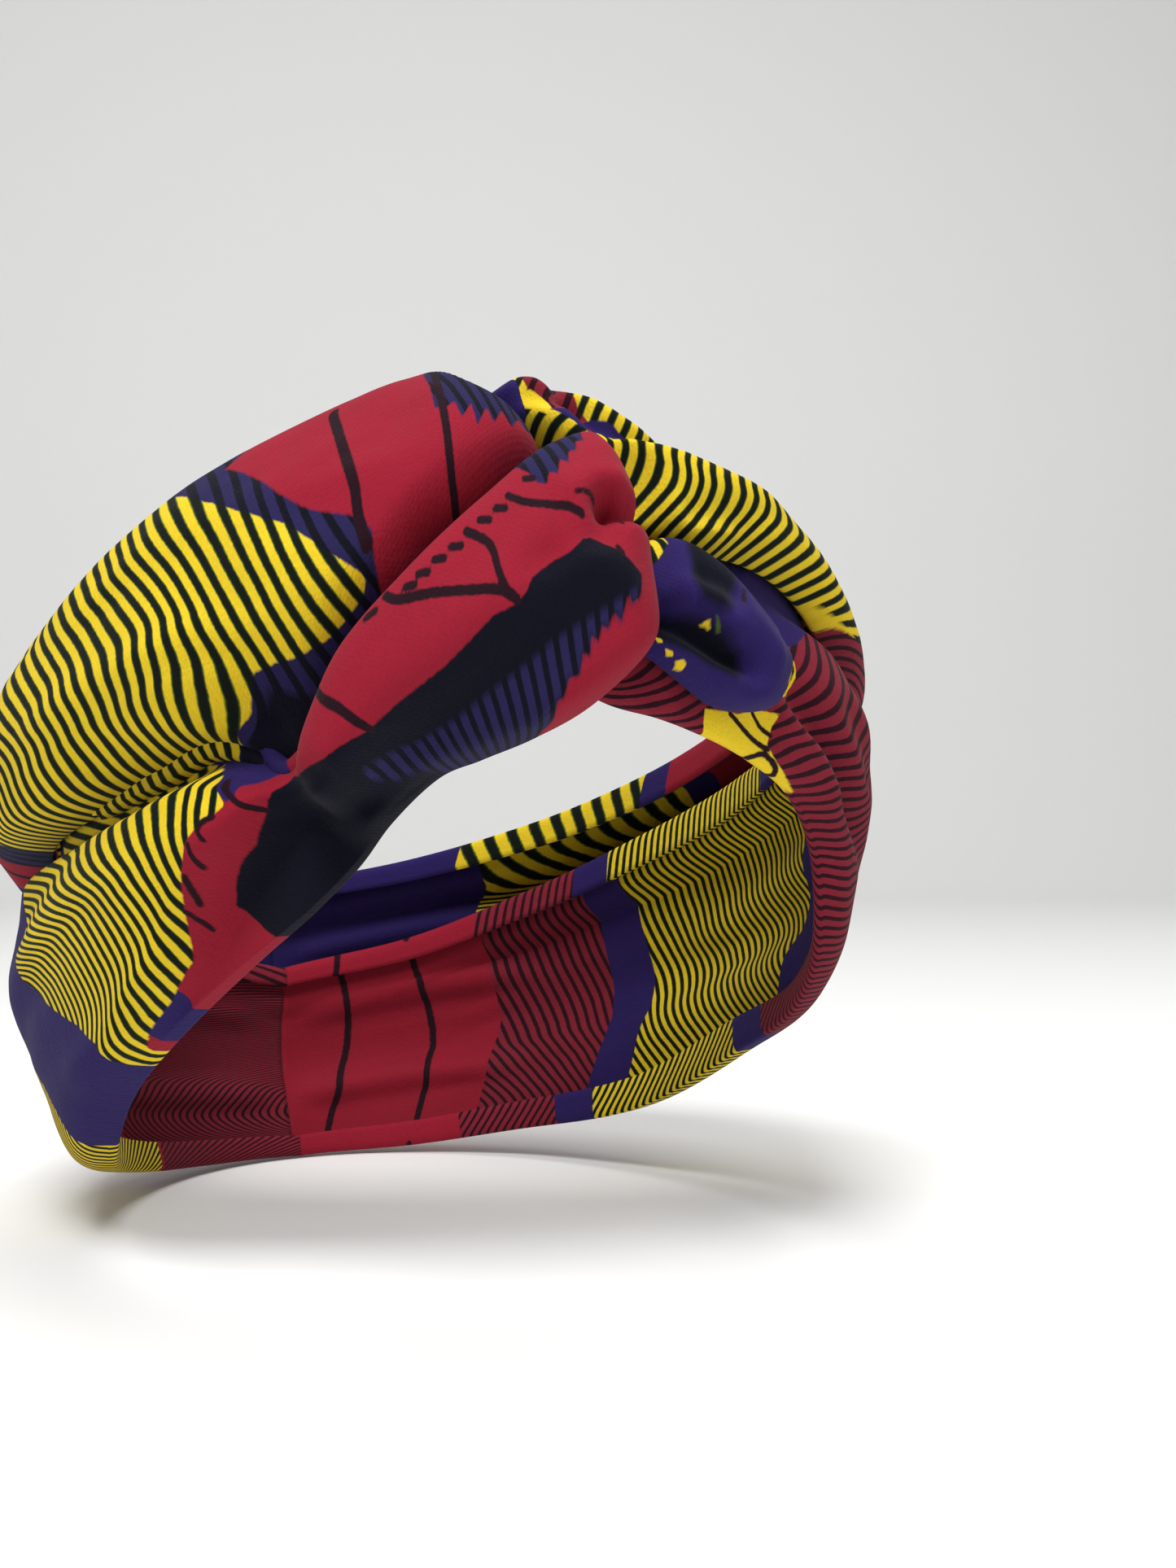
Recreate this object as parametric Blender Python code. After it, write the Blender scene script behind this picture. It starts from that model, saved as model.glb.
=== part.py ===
"""Turban headband: two strips of printed cotton hooked through each other at the front.

The band keeps the form it has when it is worn. Its hollow is the wearer's head, which is
the reference surface here: every fold is placed by turn and lift round the head, and by its
height off the head.

Frame: metres, +Z up, the wearer faces -Y and the wearer's left is +X. The origin is on the
head's axis, at the height of the lower edge above the forehead.

turn    degrees round the head's axis, 0 at the forehead, positive to the wearer's left
lift    degrees up from the head's widest level, negative towards the nape
heights millimetres off the head
"""

from typing import NamedTuple

import bmesh
import bpy
import numpy as np

MM = 0.001
HEAD_HALF_WIDTH = 76.0 * MM
HEAD_HALF_LENGTH = 97.0 * MM
HEAD_CROWN_RISE = 80.0 * MM
HEAD_WIDEST_Z = -5.0 * MM
NECK_TAPER = 0.09

WALL = 1.6 * MM
RIM_RADIUS = 2.4
REST = 0.8
SEAM_TURN = 179.85
MM_PER_TURN = 1.5
MM_PER_LIFT = 1.4
TUCK_FADE = 0.2

COLOURS = {
    "yellow": (0.88, 0.74, 0.02, 1.0),
    "red": (0.48, 0.02, 0.05, 1.0),
    "maroon": (0.23, 0.015, 0.04, 1.0),
    "violet": (0.03, 0.018, 0.14, 1.0),
}
CLOTH_ROUGHNESS = 0.85

# Where a section's guide points lie across the strip, and how steeply its shoulders rise
RIM_TURN = 0.9
SHOULDER_RISE = 0.68
SHOULDER_SHARE = 0.075
SHOULDER_REACH = 4.0
FACE_SHARES = (0.27, 0.5, 0.73)

# A crease fades over this share of its length at each end, and dies out where the cloth is thin
CREASE_FADE = 0.25
CREASE_ROOM = 4.0

# Places along a section, in steps between its eleven guide points
LIP_STEPS = 2
SECTION_STEPS = [0, 1, 2, 2.5, 3, 3.5, 4, 4.6, 5.2, 5.8, 6.4, 7, 7.5, 8, 9, 10]


class Station(NamedTuple):
    """One section across a strip: where its two rims lie and how high it puffs."""

    turn_hi: float
    lift_hi: float
    turn_lo: float
    lift_lo: float
    base_hi: float
    puff_hi: float
    puff_mid: float
    puff_lo: float
    base_lo: float
    lip: float


class Crease(NamedTuple):
    """A valley pressed into a fold, along a line over the head."""

    turn_a: float
    lift_a: float
    turn_b: float
    lift_b: float
    depth: float
    width: float


class Tuck(NamedTuple):
    """A line past which a strip drops to a floor height, because it runs under a fold."""

    line: tuple
    side: int
    floor: float
    run: float
    shift: float


# Lines over the head, as turn and lift: rims that neighbours run under
TWIST_RIM = ((-6, 36), (-12.5, 29.5), (-22, 23.5), (-27, 19.5), (-32.5, 13), (-38, 6), (-41, 0), (-44, -8))
TWIST_END = ((-16, 31), (-7, 33), (-2, 29), (1, 22), (2, 14))
FOLD_LINE = ((-46, -9.5), (-50, -14), (-55, -21), (-61, -30.5), (-67.5, -38), (-76, -49))

RIGHT_OVERLAP = (
    (-49, 0), (-55, 1), (-66, -4), (-82, -10.5), (-107, -19.5), (-130, -32), (-155, -42), (-180, -47),
)
LEFT_OVERLAP = (
    (5, 22.5), (14, 20), (24, 17), (35, 12.5), (48, 6.5), (64, -1.5),
    (84, -10), (107, -21), (130, -32), (155, -42), (180, -47),
)
CRUMPLE_EDGE = ((-28, 46), (-21, 41), (-15, 38.5), (-8, 33), (-2, 26))

RIGHT_UPPER = (
    Station(4.0, 30.0, 2.0, 20.5, REST, 5.6, 5.6, 5.6, REST, 3),
    Station(-3.0, 31.0, -5.0, 16.5, REST, 5.6, 5.6, 5.6, REST, 3),
    Station(-10.0, 34.0, -12.5, 14.0, REST, 6.5, 5.8, 5.6, REST, 3),
    Station(-16.0, 40.0, -20.0, 6.5, REST, 20.0, 12.0, 6.0, REST, 4),
    Station(-24.0, 45.0, -29.0, 0.5, REST, 26.5, 24.5, 8.0, REST, 4),
    Station(-32.0, 44.0, -36.0, -7.0, REST, 26.5, 26.5, 12.0, REST, 4),
    Station(-38.5, 41.5, -43.0, -11.0, REST, 26.5, 27.5, 13.0, REST, 4),
    Station(-45.0, 38.5, -48.5, 0.0, REST, 26.5, 27.5, 19.0, 5.6, 4),
    Station(-52.0, 35.0, -55.0, 1.0, REST, 26.5, 27.5, 24.5, 7.0, 6),
    Station(-64.0, 28.0, -66.0, -4.0, REST, 24.5, 26.5, 24.5, 7.0, 8),
    Station(-80.0, 17.0, -82.0, -10.5, REST, 23.5, 26.5, 24.5, 7.0, 8),
    Station(-106.0, 0.0, -107.0, -19.5, REST, 21.5, 24.5, 22.5, 7.0, 8),
    Station(-130.0, -13.0, -130.0, -32.0, REST, 16.0, 18.0, 17.0, 7.0, 7),
    Station(-155.0, -22.0, -155.0, -42.0, REST, 12.5, 14.0, 13.5, 7.0, 6),
    Station(-SEAM_TURN, -27.0, -SEAM_TURN, -47.0, REST, 11.5, 12.5, 12.5, 7.0, 5),
)

RIGHT_LOWER = (
    Station(-15.0, 27.0, -12.0, 10.0, 13.8, 16.2, 16.2, 15.8, 13.0, 2),
    Station(-9.0, 28.5, -6.0, 10.0, 13.8, 16.4, 16.6, 16.2, 13.0, 2),
    Station(-7.0, 30.5, -4.5, 9.5, 14.2, 21.0, 22.0, 20.0, 13.0, 4),
    Station(-9.5, 32.0, -6.0, 7.0, 15.5, 29.0, 30.0, 27.0, 12.0, 6),
    Station(-15.0, 29.5, -10.5, 3.0, 17.0, 30.5, 32.5, 27.5, 8.0, 6),
    Station(-23.0, 23.0, -17.0, -1.0, 18.0, 29.5, 31.5, 24.5, 1.5, 6),
    Station(-31.0, 15.0, -24.0, -4.0, 18.0, 29.5, 29.5, 21.5, REST, 6),
    Station(-37.0, 8.0, -29.5, -6.5, 17.0, 28.5, 27.5, 18.5, REST, 4),
    Station(-41.0, 1.5, -35.5, -12.5, 14.0, 25.5, 24.5, 14.5, REST, 3),
    Station(-44.8, -3.6, -40.0, -18.5, 11.5, 20.0, 20.0, 12.5, REST, 4),
    Station(-48.0, -4.8, -45.0, -23.5, 10.2, 18.5, 20.0, 14.5, REST, 4),
    Station(-55.0, 3.5, -53.0, -30.0, 2.5, 18.5, 21.5, 16.5, REST, 5),
    Station(-66.0, 0.5, -64.0, -38.5, REST, 18.5, 22.5, 17.5, REST, 7),
    Station(-82.0, -6.5, -80.0, -50.5, REST, 17.0, 20.5, 16.5, 2.0, 8),
    Station(-107.0, -15.5, -104.0, -67.0, REST, 16.0, 19.5, 15.5, 2.0, 8),
    Station(-130.0, -28.0, -130.0, -74.0, REST, 14.0, 17.5, 14.0, REST, 7),
    Station(-155.0, -38.0, -155.0, -77.0, REST, 10.5, 13.0, 11.0, REST, 6),
    Station(-SEAM_TURN, -43.0, -SEAM_TURN, -78.0, REST, 8.5, 10.5, 9.0, REST, 5),
)

LEFT_UPPER = (
    Station(-23.5, 43.5, -21.5, 41.0, 7.0, 9.8, 10.0, 9.8, 7.0, 1),
    Station(-19.5, 45.0, -17.5, 40.0, 6.4, 15.0, 16.0, 15.0, 7.0, 2),
    Station(-15.0, 45.5, -14.0, 38.0, 5.0, 19.5, 20.5, 18.5, 7.0, 3),
    Station(-7.0, 43.5, -8.0, 33.0, 2.0, 19.5, 21.5, 18.5, 7.0, 4),
    Station(0.0, 39.5, -3.0, 26.0, REST, 19.5, 21.5, 17.5, 7.0, 5),
    Station(7.0, 36.0, 5.0, 22.5, REST, 18.5, 21.5, 18.5, 7.0, 5),
    Station(15.0, 32.5, 14.0, 20.0, REST, 17.5, 21.5, 19.5, 7.0, 6),
    Station(24.0, 29.0, 24.0, 17.0, REST, 15.5, 19.5, 19.5, 7.0, 6),
    Station(35.0, 24.5, 35.0, 12.5, REST, 13.0, 17.0, 17.5, 7.0, 6),
    Station(47.0, 19.0, 48.0, 6.5, REST, 14.0, 16.5, 17.0, 7.0, 7),
    Station(62.0, 13.0, 64.0, -1.5, REST, 16.5, 19.5, 18.5, 7.0, 7),
    Station(82.0, 5.0, 84.0, -10.0, REST, 19.5, 22.5, 21.5, 7.0, 8),
    Station(106.0, -5.5, 107.0, -21.0, REST, 19.5, 22.5, 21.5, 7.0, 8),
    Station(130.0, -15.0, 130.0, -32.0, REST, 16.0, 18.0, 17.0, 7.0, 7),
    Station(155.0, -22.5, 155.0, -42.0, REST, 12.5, 14.0, 13.5, 7.0, 6),
    Station(SEAM_TURN, -27.0, SEAM_TURN, -47.0, REST, 11.5, 12.5, 12.5, 7.0, 5),
)

LEFT_LOWER = (
    Station(-14.0, 11.0, -13.5, 6.0, REST, 5.6, 5.6, 5.6, REST, 2),
    Station(-7.0, 11.0, -7.0, 3.0, REST, 5.6, 5.6, 5.6, REST, 2),
    Station(-1.0, 14.5, 0.0, 1.5, REST, 5.6, 5.8, 5.6, REST, 3),
    Station(7.0, 23.5, 9.0, -1.0, REST, 5.8, 6.0, 5.8, REST, 4),
    Station(17.0, 22.5, 18.0, -4.0, REST, 5.8, 6.4, 6.2, REST, 4),
    Station(27.0, 19.5, 27.0, -8.5, REST, 9.5, 12.0, 11.0, 3.0, 5),
    Station(37.0, 15.5, 36.0, -17.0, REST, 12.0, 16.5, 14.0, 5.0, 5),
    Station(48.0, 10.0, 45.0, -31.0, REST, 12.5, 16.8, 14.5, 6.0, 5),
    Station(62.0, 2.5, 58.0, -42.0, REST, 13.0, 17.2, 14.8, 5.0, 6),
    Station(82.0, -6.0, 79.0, -53.0, REST, 14.5, 19.0, 15.0, 3.0, 8),
    Station(107.0, -17.0, 105.0, -67.0, REST, 15.0, 19.5, 15.5, 1.5, 8),
    Station(130.0, -28.0, 130.0, -73.0, REST, 14.0, 17.5, 14.0, REST, 7),
    Station(155.0, -38.0, 155.0, -77.0, REST, 10.5, 13.0, 11.0, REST, 6),
    Station(SEAM_TURN, -43.0, SEAM_TURN, -78.0, REST, 8.5, 10.5, 9.0, REST, 5),
)

KNOT_LOOP = (
    Station(-10.0, 19.0, -9.5, 11.5, 6.4, 11.4, 11.4, 11.4, 6.4, 2),
    Station(-5.0, 20.5, -4.0, 9.0, 6.4, 11.6, 12.0, 11.6, 6.4, 3),
    Station(1.0, 21.8, 0.5, 6.2, 6.4, 16.5, 18.0, 16.5, 6.4, 4),
    Station(6.5, 20.0, 5.5, 3.2, 6.4, 19.0, 21.5, 19.0, 6.4, 5),
    Station(12.0, 16.0, 10.0, 2.2, 6.8, 18.5, 21.0, 19.0, 7.4, 4),
    Station(16.5, 12.5, 14.0, 2.8, 8.2, 14.5, 16.0, 15.0, 8.0, 3),
    Station(13.5, 13.0, 12.0, 4.5, 8.7, 11.3, 11.5, 11.3, 8.6, 1),
)

RIGHT_UPPER_TUCKS = (
    Tuck(TWIST_RIM, 1, 6.0, 14.0, 7.0),
    Tuck(CRUMPLE_EDGE, 1, 5.7, 6.0, -1.0),
)
RIGHT_LOWER_TUCKS = (
    Tuck(FOLD_LINE, 1, 5.8, 14.0, 6.0),
    Tuck(RIGHT_OVERLAP, -1, 5.7, 6.0, -2.0),
)
LEFT_UPPER_TUCKS = (
    Tuck(TWIST_END, -1, 10.0, 8.0, 4.0),
)
LEFT_LOWER_TUCKS = (
    Tuck(LEFT_OVERLAP, 1, 5.7, 6.0, -2.0),
)

RIGHT_UPPER_CREASES = (
    Crease(-54, 16, -108, -6, 3.0, 5.0),
    Crease(-40, 6, -76, -1, 2.5, 4.0),
    Crease(-38, 30, -70, 14, 2.0, 6.0),
    Crease(-128, -20, -181, -33, 3.0, 3.0),
    Crease(-135, -29, -181, -41, 2.5, 3.0),
)
RIGHT_LOWER_CREASES = (
    Crease(-10, 19, -17, 17, 5.0, 4.0),
    Crease(-14, 22, -34, 0, 2.5, 4.5),
    Crease(-56, -8, -104, -34, 2.5, 5.0),
    Crease(-72, -30, -118, -54, 2.5, 5.0),
    Crease(-128, -42, -181, -52, 3.0, 3.5),
    Crease(-132, -60, -181, -67, 3.0, 3.5),
)
LEFT_UPPER_CREASES = (
    Crease(-12, 44, 10, 36, 4.0, 3.5),
    Crease(10, 28, 52, 12, 2.0, 4.0),
    Crease(66, 5, 112, -14, 2.5, 4.5),
    Crease(128, -22, 181, -34, 3.0, 3.0),
    Crease(136, -31, 181, -41, 2.5, 3.0),
)
LEFT_LOWER_CREASES = (
    Crease(24, 8, 50, -24, 4.0, 5.0),
    Crease(56, -12, 108, -38, 3.0, 5.0),
    Crease(68, -32, 116, -56, 2.5, 5.0),
    Crease(128, -42, 181, -52, 3.0, 3.5),
    Crease(132, -60, 181, -67, 3.0, 3.5),
)
KNOT_LOOP_CREASES = (
    Crease(-4, 14, 10, 10.5, 4.5, 3.0),
)


class Strip(NamedTuple):
    """One fold of the band: its tables, its rows along, its colour and which way round it runs."""

    name: str
    stations: tuple
    tucks: tuple
    creases: tuple
    along_steps: int
    colour: str
    side: int
    seamed: bool


# Side is 1 for folds that run to the wearer's left, and seamed ones end at the back seam
STRIPS = (
    Strip("right_upper_fold", RIGHT_UPPER, RIGHT_UPPER_TUCKS, RIGHT_UPPER_CREASES, 38, "yellow", -1, True),
    Strip("right_lower_fold", RIGHT_LOWER, RIGHT_LOWER_TUCKS, RIGHT_LOWER_CREASES, 46, "red", -1, True),
    Strip("left_upper_fold", LEFT_UPPER, LEFT_UPPER_TUCKS, LEFT_UPPER_CREASES, 38, "yellow", 1, True),
    Strip("left_lower_fold", LEFT_LOWER, LEFT_LOWER_TUCKS, LEFT_LOWER_CREASES, 38, "maroon", 1, True),
    Strip("knot_loop", KNOT_LOOP, (), KNOT_LOOP_CREASES, 16, "violet", 1, False),
)


def head_point(turn, lift, height):
    """Point at a turn and lift over the head, a height in millimetres off it."""
    across = np.radians(turn)
    rise = np.radians(lift)
    above = rise >= 0
    girth = np.where(above, np.cos(rise), 1 - NECK_TAPER * rise * rise)
    girth_slope = np.where(above, -np.sin(rise), -2 * NECK_TAPER * rise)
    level = HEAD_WIDEST_Z + HEAD_CROWN_RISE * np.where(above, np.sin(rise), rise)
    level_slope = HEAD_CROWN_RISE * np.where(above, np.cos(rise), 1.0)
    sideways = HEAD_HALF_WIDTH * girth * np.sin(across)
    forwards = -HEAD_HALF_LENGTH * girth * np.cos(across)
    spot = np.stack([sideways, forwards, level], -1)
    out = np.stack(
        [
            HEAD_HALF_LENGTH * girth * level_slope * np.sin(across),
            -HEAD_HALF_WIDTH * girth * level_slope * np.cos(across),
            -HEAD_HALF_WIDTH * HEAD_HALF_LENGTH * girth * girth_slope,
        ],
        -1,
    )
    out /= np.linalg.norm(out, axis=-1, keepdims=True)
    return spot + (np.asarray(height) * MM)[..., None] * out


def spline(knots, values, places):
    """Smooth curve through rows of values at the knots, read at the places."""
    knots = np.asarray(knots, float)
    values = np.asarray(values, float)
    slopes = np.empty_like(values)
    gaps = np.diff(knots)[:, None]
    chords = np.diff(values, axis=0) / gaps
    slopes[1:-1] = (chords[:-1] * gaps[1:] + chords[1:] * gaps[:-1]) / (gaps[:-1] + gaps[1:])
    slopes[0] = chords[0]
    slopes[-1] = chords[-1]
    cell = np.clip(np.searchsorted(knots, places, side="right") - 1, 0, len(knots) - 2)
    span = (knots[cell + 1] - knots[cell])[:, None]
    t = ((places - knots[cell])[:, None]) / span
    start = values[cell] * (2 * t**3 - 3 * t**2 + 1) + slopes[cell] * span * (t**3 - 2 * t**2 + t)
    end = values[cell + 1] * (3 * t**2 - 2 * t**3) + slopes[cell + 1] * span * (t**3 - t**2)
    return start + end


def station_places(stations):
    """Distance in millimetres along a strip's middle at each of its stations."""
    rows = np.array(stations)
    middle_turn = (rows[:, 0] + rows[:, 2]) / 2
    middle_lift = (rows[:, 1] + rows[:, 3]) / 2
    spots = head_point(middle_turn, middle_lift, rows[:, 6]) / MM
    return np.concatenate([[0.0], np.cumsum(np.linalg.norm(np.diff(spots, axis=0), axis=1))])


def section_guides(row):
    """The eleven guide points of each section, as distance from the upper rim and height."""
    turn_hi, lift_hi, turn_lo, lift_lo, base_hi, puff_hi, puff_mid, puff_lo, base_lo, lip = row.T
    zero = np.zeros_like(lip)
    apart = head_point(turn_hi, lift_hi, zero) - head_point(turn_lo, lift_lo, zero)
    width = np.linalg.norm(apart, axis=-1) / MM
    rim_hi = base_hi + RIM_RADIUS
    rim_lo = base_lo + RIM_RADIUS
    shoulder_hi = rim_hi + SHOULDER_RISE * (puff_hi - rim_hi)
    shoulder_lo = rim_lo + SHOULDER_RISE * (puff_lo - rim_lo)
    reach = np.minimum(SHOULDER_SHARE * width, SHOULDER_REACH)
    across = [lip, RIM_TURN + zero, zero, reach]
    across += [share * width for share in FACE_SHARES]
    across += [width - reach, width, width - RIM_TURN, width - lip]
    height = [base_hi, base_hi, rim_hi, shoulder_hi, puff_hi, puff_mid]
    height += [puff_lo, shoulder_lo, rim_lo, base_lo, base_lo]
    return np.stack(across, 1), np.stack(height, 1), width


def line_distance(turn, lift, line):
    """Signed distance in millimetres to a line over the head, and how far along it lies."""
    spot = np.stack([turn * MM_PER_TURN, lift * MM_PER_LIFT], -1)
    points = np.array(line, float) * (MM_PER_TURN, MM_PER_LIFT)
    best = np.full(turn.shape, 1e9)
    signed = np.zeros(turn.shape)
    along = np.zeros(turn.shape)
    last = len(points) - 2
    for index, (a, b) in enumerate(zip(points[:-1], points[1:])):
        run = b - a
        share = ((spot - a) @ run) / (run @ run)
        low = -np.inf if index == 0 else 0.0
        high = np.inf if index == last else 1.0
        held = np.clip(share, low, high)
        apart = spot - (a + held[..., None] * run)
        distance = np.linalg.norm(apart, axis=-1)
        nearer = distance < best
        side = np.sign(run[0] * apart[..., 1] - run[1] * apart[..., 0])
        best = np.where(nearer, distance, best)
        signed = np.where(nearer, side * distance, signed)
        along = np.where(nearer, index + share, along)
    return signed, along / (last + 1)


def ease(share):
    """Smooth step from 0 to 1."""
    share = np.clip(share, 0.0, 1.0)
    return share * share * (3 - 2 * share)


def press(turn, lift, height, on_face, tucks, creases):
    """Lower a fold where it runs under its neighbour, and press its valleys in."""
    for tuck in tucks:
        signed, along = line_distance(turn, lift, tuck.line)
        keep = 1 - ease(1 - (tuck.shift - tuck.side * signed) / tuck.run) * ease(1 + along / TUCK_FADE)
        lowered = tuck.floor + (height - tuck.floor) * keep
        height = np.where(height > tuck.floor, height + (lowered - height) * on_face, height)
    for crease in creases:
        line = ((crease.turn_a, crease.lift_a), (crease.turn_b, crease.lift_b))
        signed, along = line_distance(turn, lift, line)
        fade = ease(along / CREASE_FADE) * ease((1 - along) / CREASE_FADE)
        dip = crease.depth * np.exp(-((signed / crease.width) ** 2)) * fade * on_face
        room = np.clip((height - 2 * RIM_RADIUS - REST) / CREASE_ROOM, 0.0, 1.0)
        height = height - dip * room
    return height


def strip_surface(stations, tucks, creases, along_steps, section_steps):
    """Grid of points on the outer face of a strip."""
    places = station_places(stations)
    rows = spline(places, np.array(stations), np.linspace(0, places[-1], along_steps))
    across, height, width = section_guides(rows)
    guides = np.arange(across.shape[1], dtype=float)
    steps = np.array(section_steps, float)
    across = spline(guides, across.T, steps).T
    height = spline(guides, height.T, steps).T
    share = across / width[:, None]
    turn = rows[:, 0:1] + (rows[:, 2:3] - rows[:, 0:1]) * share
    lift = rows[:, 1:2] + (rows[:, 3:4] - rows[:, 1:2]) * share
    on_face = ease(np.minimum(steps - LIP_STEPS, guides[-1] - LIP_STEPS - steps) + 1)[None, :]
    height = press(turn, lift, height, on_face, tucks, creases)
    return head_point(turn, lift, height)


def wall_mesh(name, outer, side, seamed):
    """Closed wall of the cloth's thickness, grown inwards from a grid of outer points."""
    along = np.gradient(outer, axis=0)
    across = np.gradient(outer, axis=1)
    normal = np.cross(across, along) * side
    normal /= np.maximum(np.linalg.norm(normal, axis=-1, keepdims=True), 1e-12)
    if seamed:
        normal[-1, :, 0] = 0.0
    inner = outer - WALL * normal
    rows, columns = outer.shape[:2]
    mesh = bpy.data.meshes.new(name)
    body = bmesh.new()
    grids = [[[body.verts.new(point) for point in row] for row in grid] for grid in (outer, inner)]
    top, low = grids
    for i in range(rows - 1):
        for j in range(columns - 1):
            body.faces.new((top[i][j], top[i][j + 1], top[i + 1][j + 1], top[i + 1][j]))
            body.faces.new((low[i][j], low[i + 1][j], low[i + 1][j + 1], low[i][j + 1]))
    for i in range(rows - 1):
        body.faces.new((top[i][0], top[i + 1][0], low[i + 1][0], low[i][0]))
        body.faces.new((top[i + 1][-1], top[i][-1], low[i][-1], low[i + 1][-1]))
    for j in range(columns - 1):
        body.faces.new((top[0][j + 1], top[0][j], low[0][j], low[0][j + 1]))
        body.faces.new((top[-1][j], top[-1][j + 1], low[-1][j + 1], low[-1][j]))
    bmesh.ops.recalc_face_normals(body, faces=body.faces)
    bmesh.ops.triangulate(body, faces=body.faces)
    body.to_mesh(mesh)
    body.free()
    mesh.shade_smooth()
    return mesh


def cloth(colour_name):
    """Matt printed cotton in one plain colour."""
    material = bpy.data.materials.new("cotton_" + colour_name)
    material.use_nodes = True
    shader = material.node_tree.nodes["Principled BSDF"]
    shader.inputs["Base Color"].default_value = COLOURS[colour_name]
    shader.inputs["Roughness"].default_value = CLOTH_ROUGHNESS
    shader.inputs["Metallic"].default_value = 0.0
    return material


def make_strip(strip):
    """One fold of cloth as an object of its own."""
    outer = strip_surface(strip.stations, strip.tucks, strip.creases, strip.along_steps, SECTION_STEPS)
    fold = bpy.data.objects.new(strip.name, wall_mesh(strip.name, outer, strip.side, strip.seamed))
    fold.data.materials.append(cloth(strip.colour))
    bpy.context.collection.objects.link(fold)
    return fold


def main():
    """Clear the scene and build the five folds of the band."""
    for item in list(bpy.data.objects):
        bpy.data.objects.remove(item)
    for strip in STRIPS:
        make_strip(strip)


main()
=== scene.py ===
"""Looks of a turban headband: two strips of printed cotton hooked through each other in front.

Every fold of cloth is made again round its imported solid, from the same tables and at a finer
grain, and gets the small folds, the print and the weave that the solid leaves out.

Frame: metres, +Z up, the wearer faces -Y and the wearer's left is +X.

turn    degrees round the upright axis, 0 at the front, positive to the wearer's left
lift    degrees up from the hollow's widest level, negative below it
height  millimetres off the hollow's surface
along   millimetres along a fold, from inside the knot to the back seam
share   place across a fold, 0 at its upper rim and 1 at its lower rim
"""

import logging
import math
from dataclasses import dataclass, field
from enum import Enum
from typing import NamedTuple

import bmesh
import bpy
import numpy as np
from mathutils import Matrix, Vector


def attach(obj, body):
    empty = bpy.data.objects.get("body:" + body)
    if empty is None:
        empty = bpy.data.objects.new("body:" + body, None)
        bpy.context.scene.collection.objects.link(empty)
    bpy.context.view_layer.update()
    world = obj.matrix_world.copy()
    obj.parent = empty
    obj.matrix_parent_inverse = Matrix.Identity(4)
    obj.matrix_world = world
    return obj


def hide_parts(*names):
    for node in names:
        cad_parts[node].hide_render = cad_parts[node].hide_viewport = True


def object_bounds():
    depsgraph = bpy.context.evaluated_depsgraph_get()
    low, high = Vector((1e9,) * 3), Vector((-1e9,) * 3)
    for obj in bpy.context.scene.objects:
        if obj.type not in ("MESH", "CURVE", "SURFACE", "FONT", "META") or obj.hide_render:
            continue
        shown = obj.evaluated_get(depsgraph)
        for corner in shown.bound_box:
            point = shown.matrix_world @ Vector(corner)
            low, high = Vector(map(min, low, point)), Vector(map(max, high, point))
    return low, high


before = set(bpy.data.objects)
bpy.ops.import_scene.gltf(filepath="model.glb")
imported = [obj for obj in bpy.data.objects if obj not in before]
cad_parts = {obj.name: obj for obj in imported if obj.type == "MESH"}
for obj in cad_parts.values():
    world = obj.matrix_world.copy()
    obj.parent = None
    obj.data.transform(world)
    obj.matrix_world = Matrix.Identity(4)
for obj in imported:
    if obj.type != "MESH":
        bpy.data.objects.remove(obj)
CAD_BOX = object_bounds()

LOG = logging.getLogger("headband")

MM = 0.001
BODY = "root"

# The cloth's wall, the radius of its rims and its least height off the hollow's surface, in millimetres
WALL = 1.6
RIM_RADIUS = 2.4
REST = 0.8

# Turn of the back seam, a hair short of half a turn so that both strips' ends stay apart
SEAM_TURN = 179.99

# Where a section's guide points lie across the strip, and how steeply its shoulders rise
RIM_TURN = 0.9
SHOULDER_RISE = 0.68
SHOULDER_SHARE = 0.075
SHOULDER_REACH = 4.0
FACE_SHARES = (0.27, 0.5, 0.73)
LIP_STEPS = 2

# Points between one guide point of a section and the next
SECTION_POINTS = (4, 5, 12, 20, 23, 23, 20, 12, 5, 4)

# Length of a fold that is gridded finely, in millimetres, and the share of its sections used there
FINE_LENGTH = 145.0
FINE_ROWS = 0.62

# Lengths over the hollow's surface that one degree stands for, in millimetres
MM_PER_TURN = 1.5
MM_PER_LIFT = 1.4

# Shares of a line over which a tuck or a crease fades out at its ends, and the height above the
# rims' level that a crease needs for its full depth, in millimetres
TUCK_FADE = 0.2
CREASE_FADE = 0.25
CREASE_ROOM = 4.0

# Signed distances of the print are kept within this reach, in millimetres
PRINT_REACH = 8.0
STROKE_STEPS = 4

# A distance past every other, and lengths and areas that count as none
FAR = 1e9
TINY = 1e-9
TINY_AREA = 1e-12

# Grain of the noise in the finishes, in cells per metre of cloth, and of the thread
BLEED_GRAIN = 900.0
DYE_GRAIN = 55.0
THREAD_GRAIN = 1800.0


class Tint(Enum):
    """Printed colours of the cotton, as linear base colours."""

    YELLOW = (0.700, 0.500, 0.018)
    RED = (0.255, 0.0095, 0.024)
    MAROON = (0.190, 0.014, 0.027)
    PURPLE = (0.020, 0.011, 0.086)
    VIOLET = (0.017, 0.013, 0.062)
    # Navy of the print; the same colour also serves for soft patches of painted shade
    NAVY = (0.003, 0.003, 0.009)
    INK = (0.004, 0.006, 0.004)
    FRINGE = (0.060, 0.105, 0.010)
    DARK_RED = (0.022, 0.003, 0.008)
    LINE = (0.014, 0.003, 0.007)
    THREAD = (0.060, 0.020, 0.045)


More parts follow.
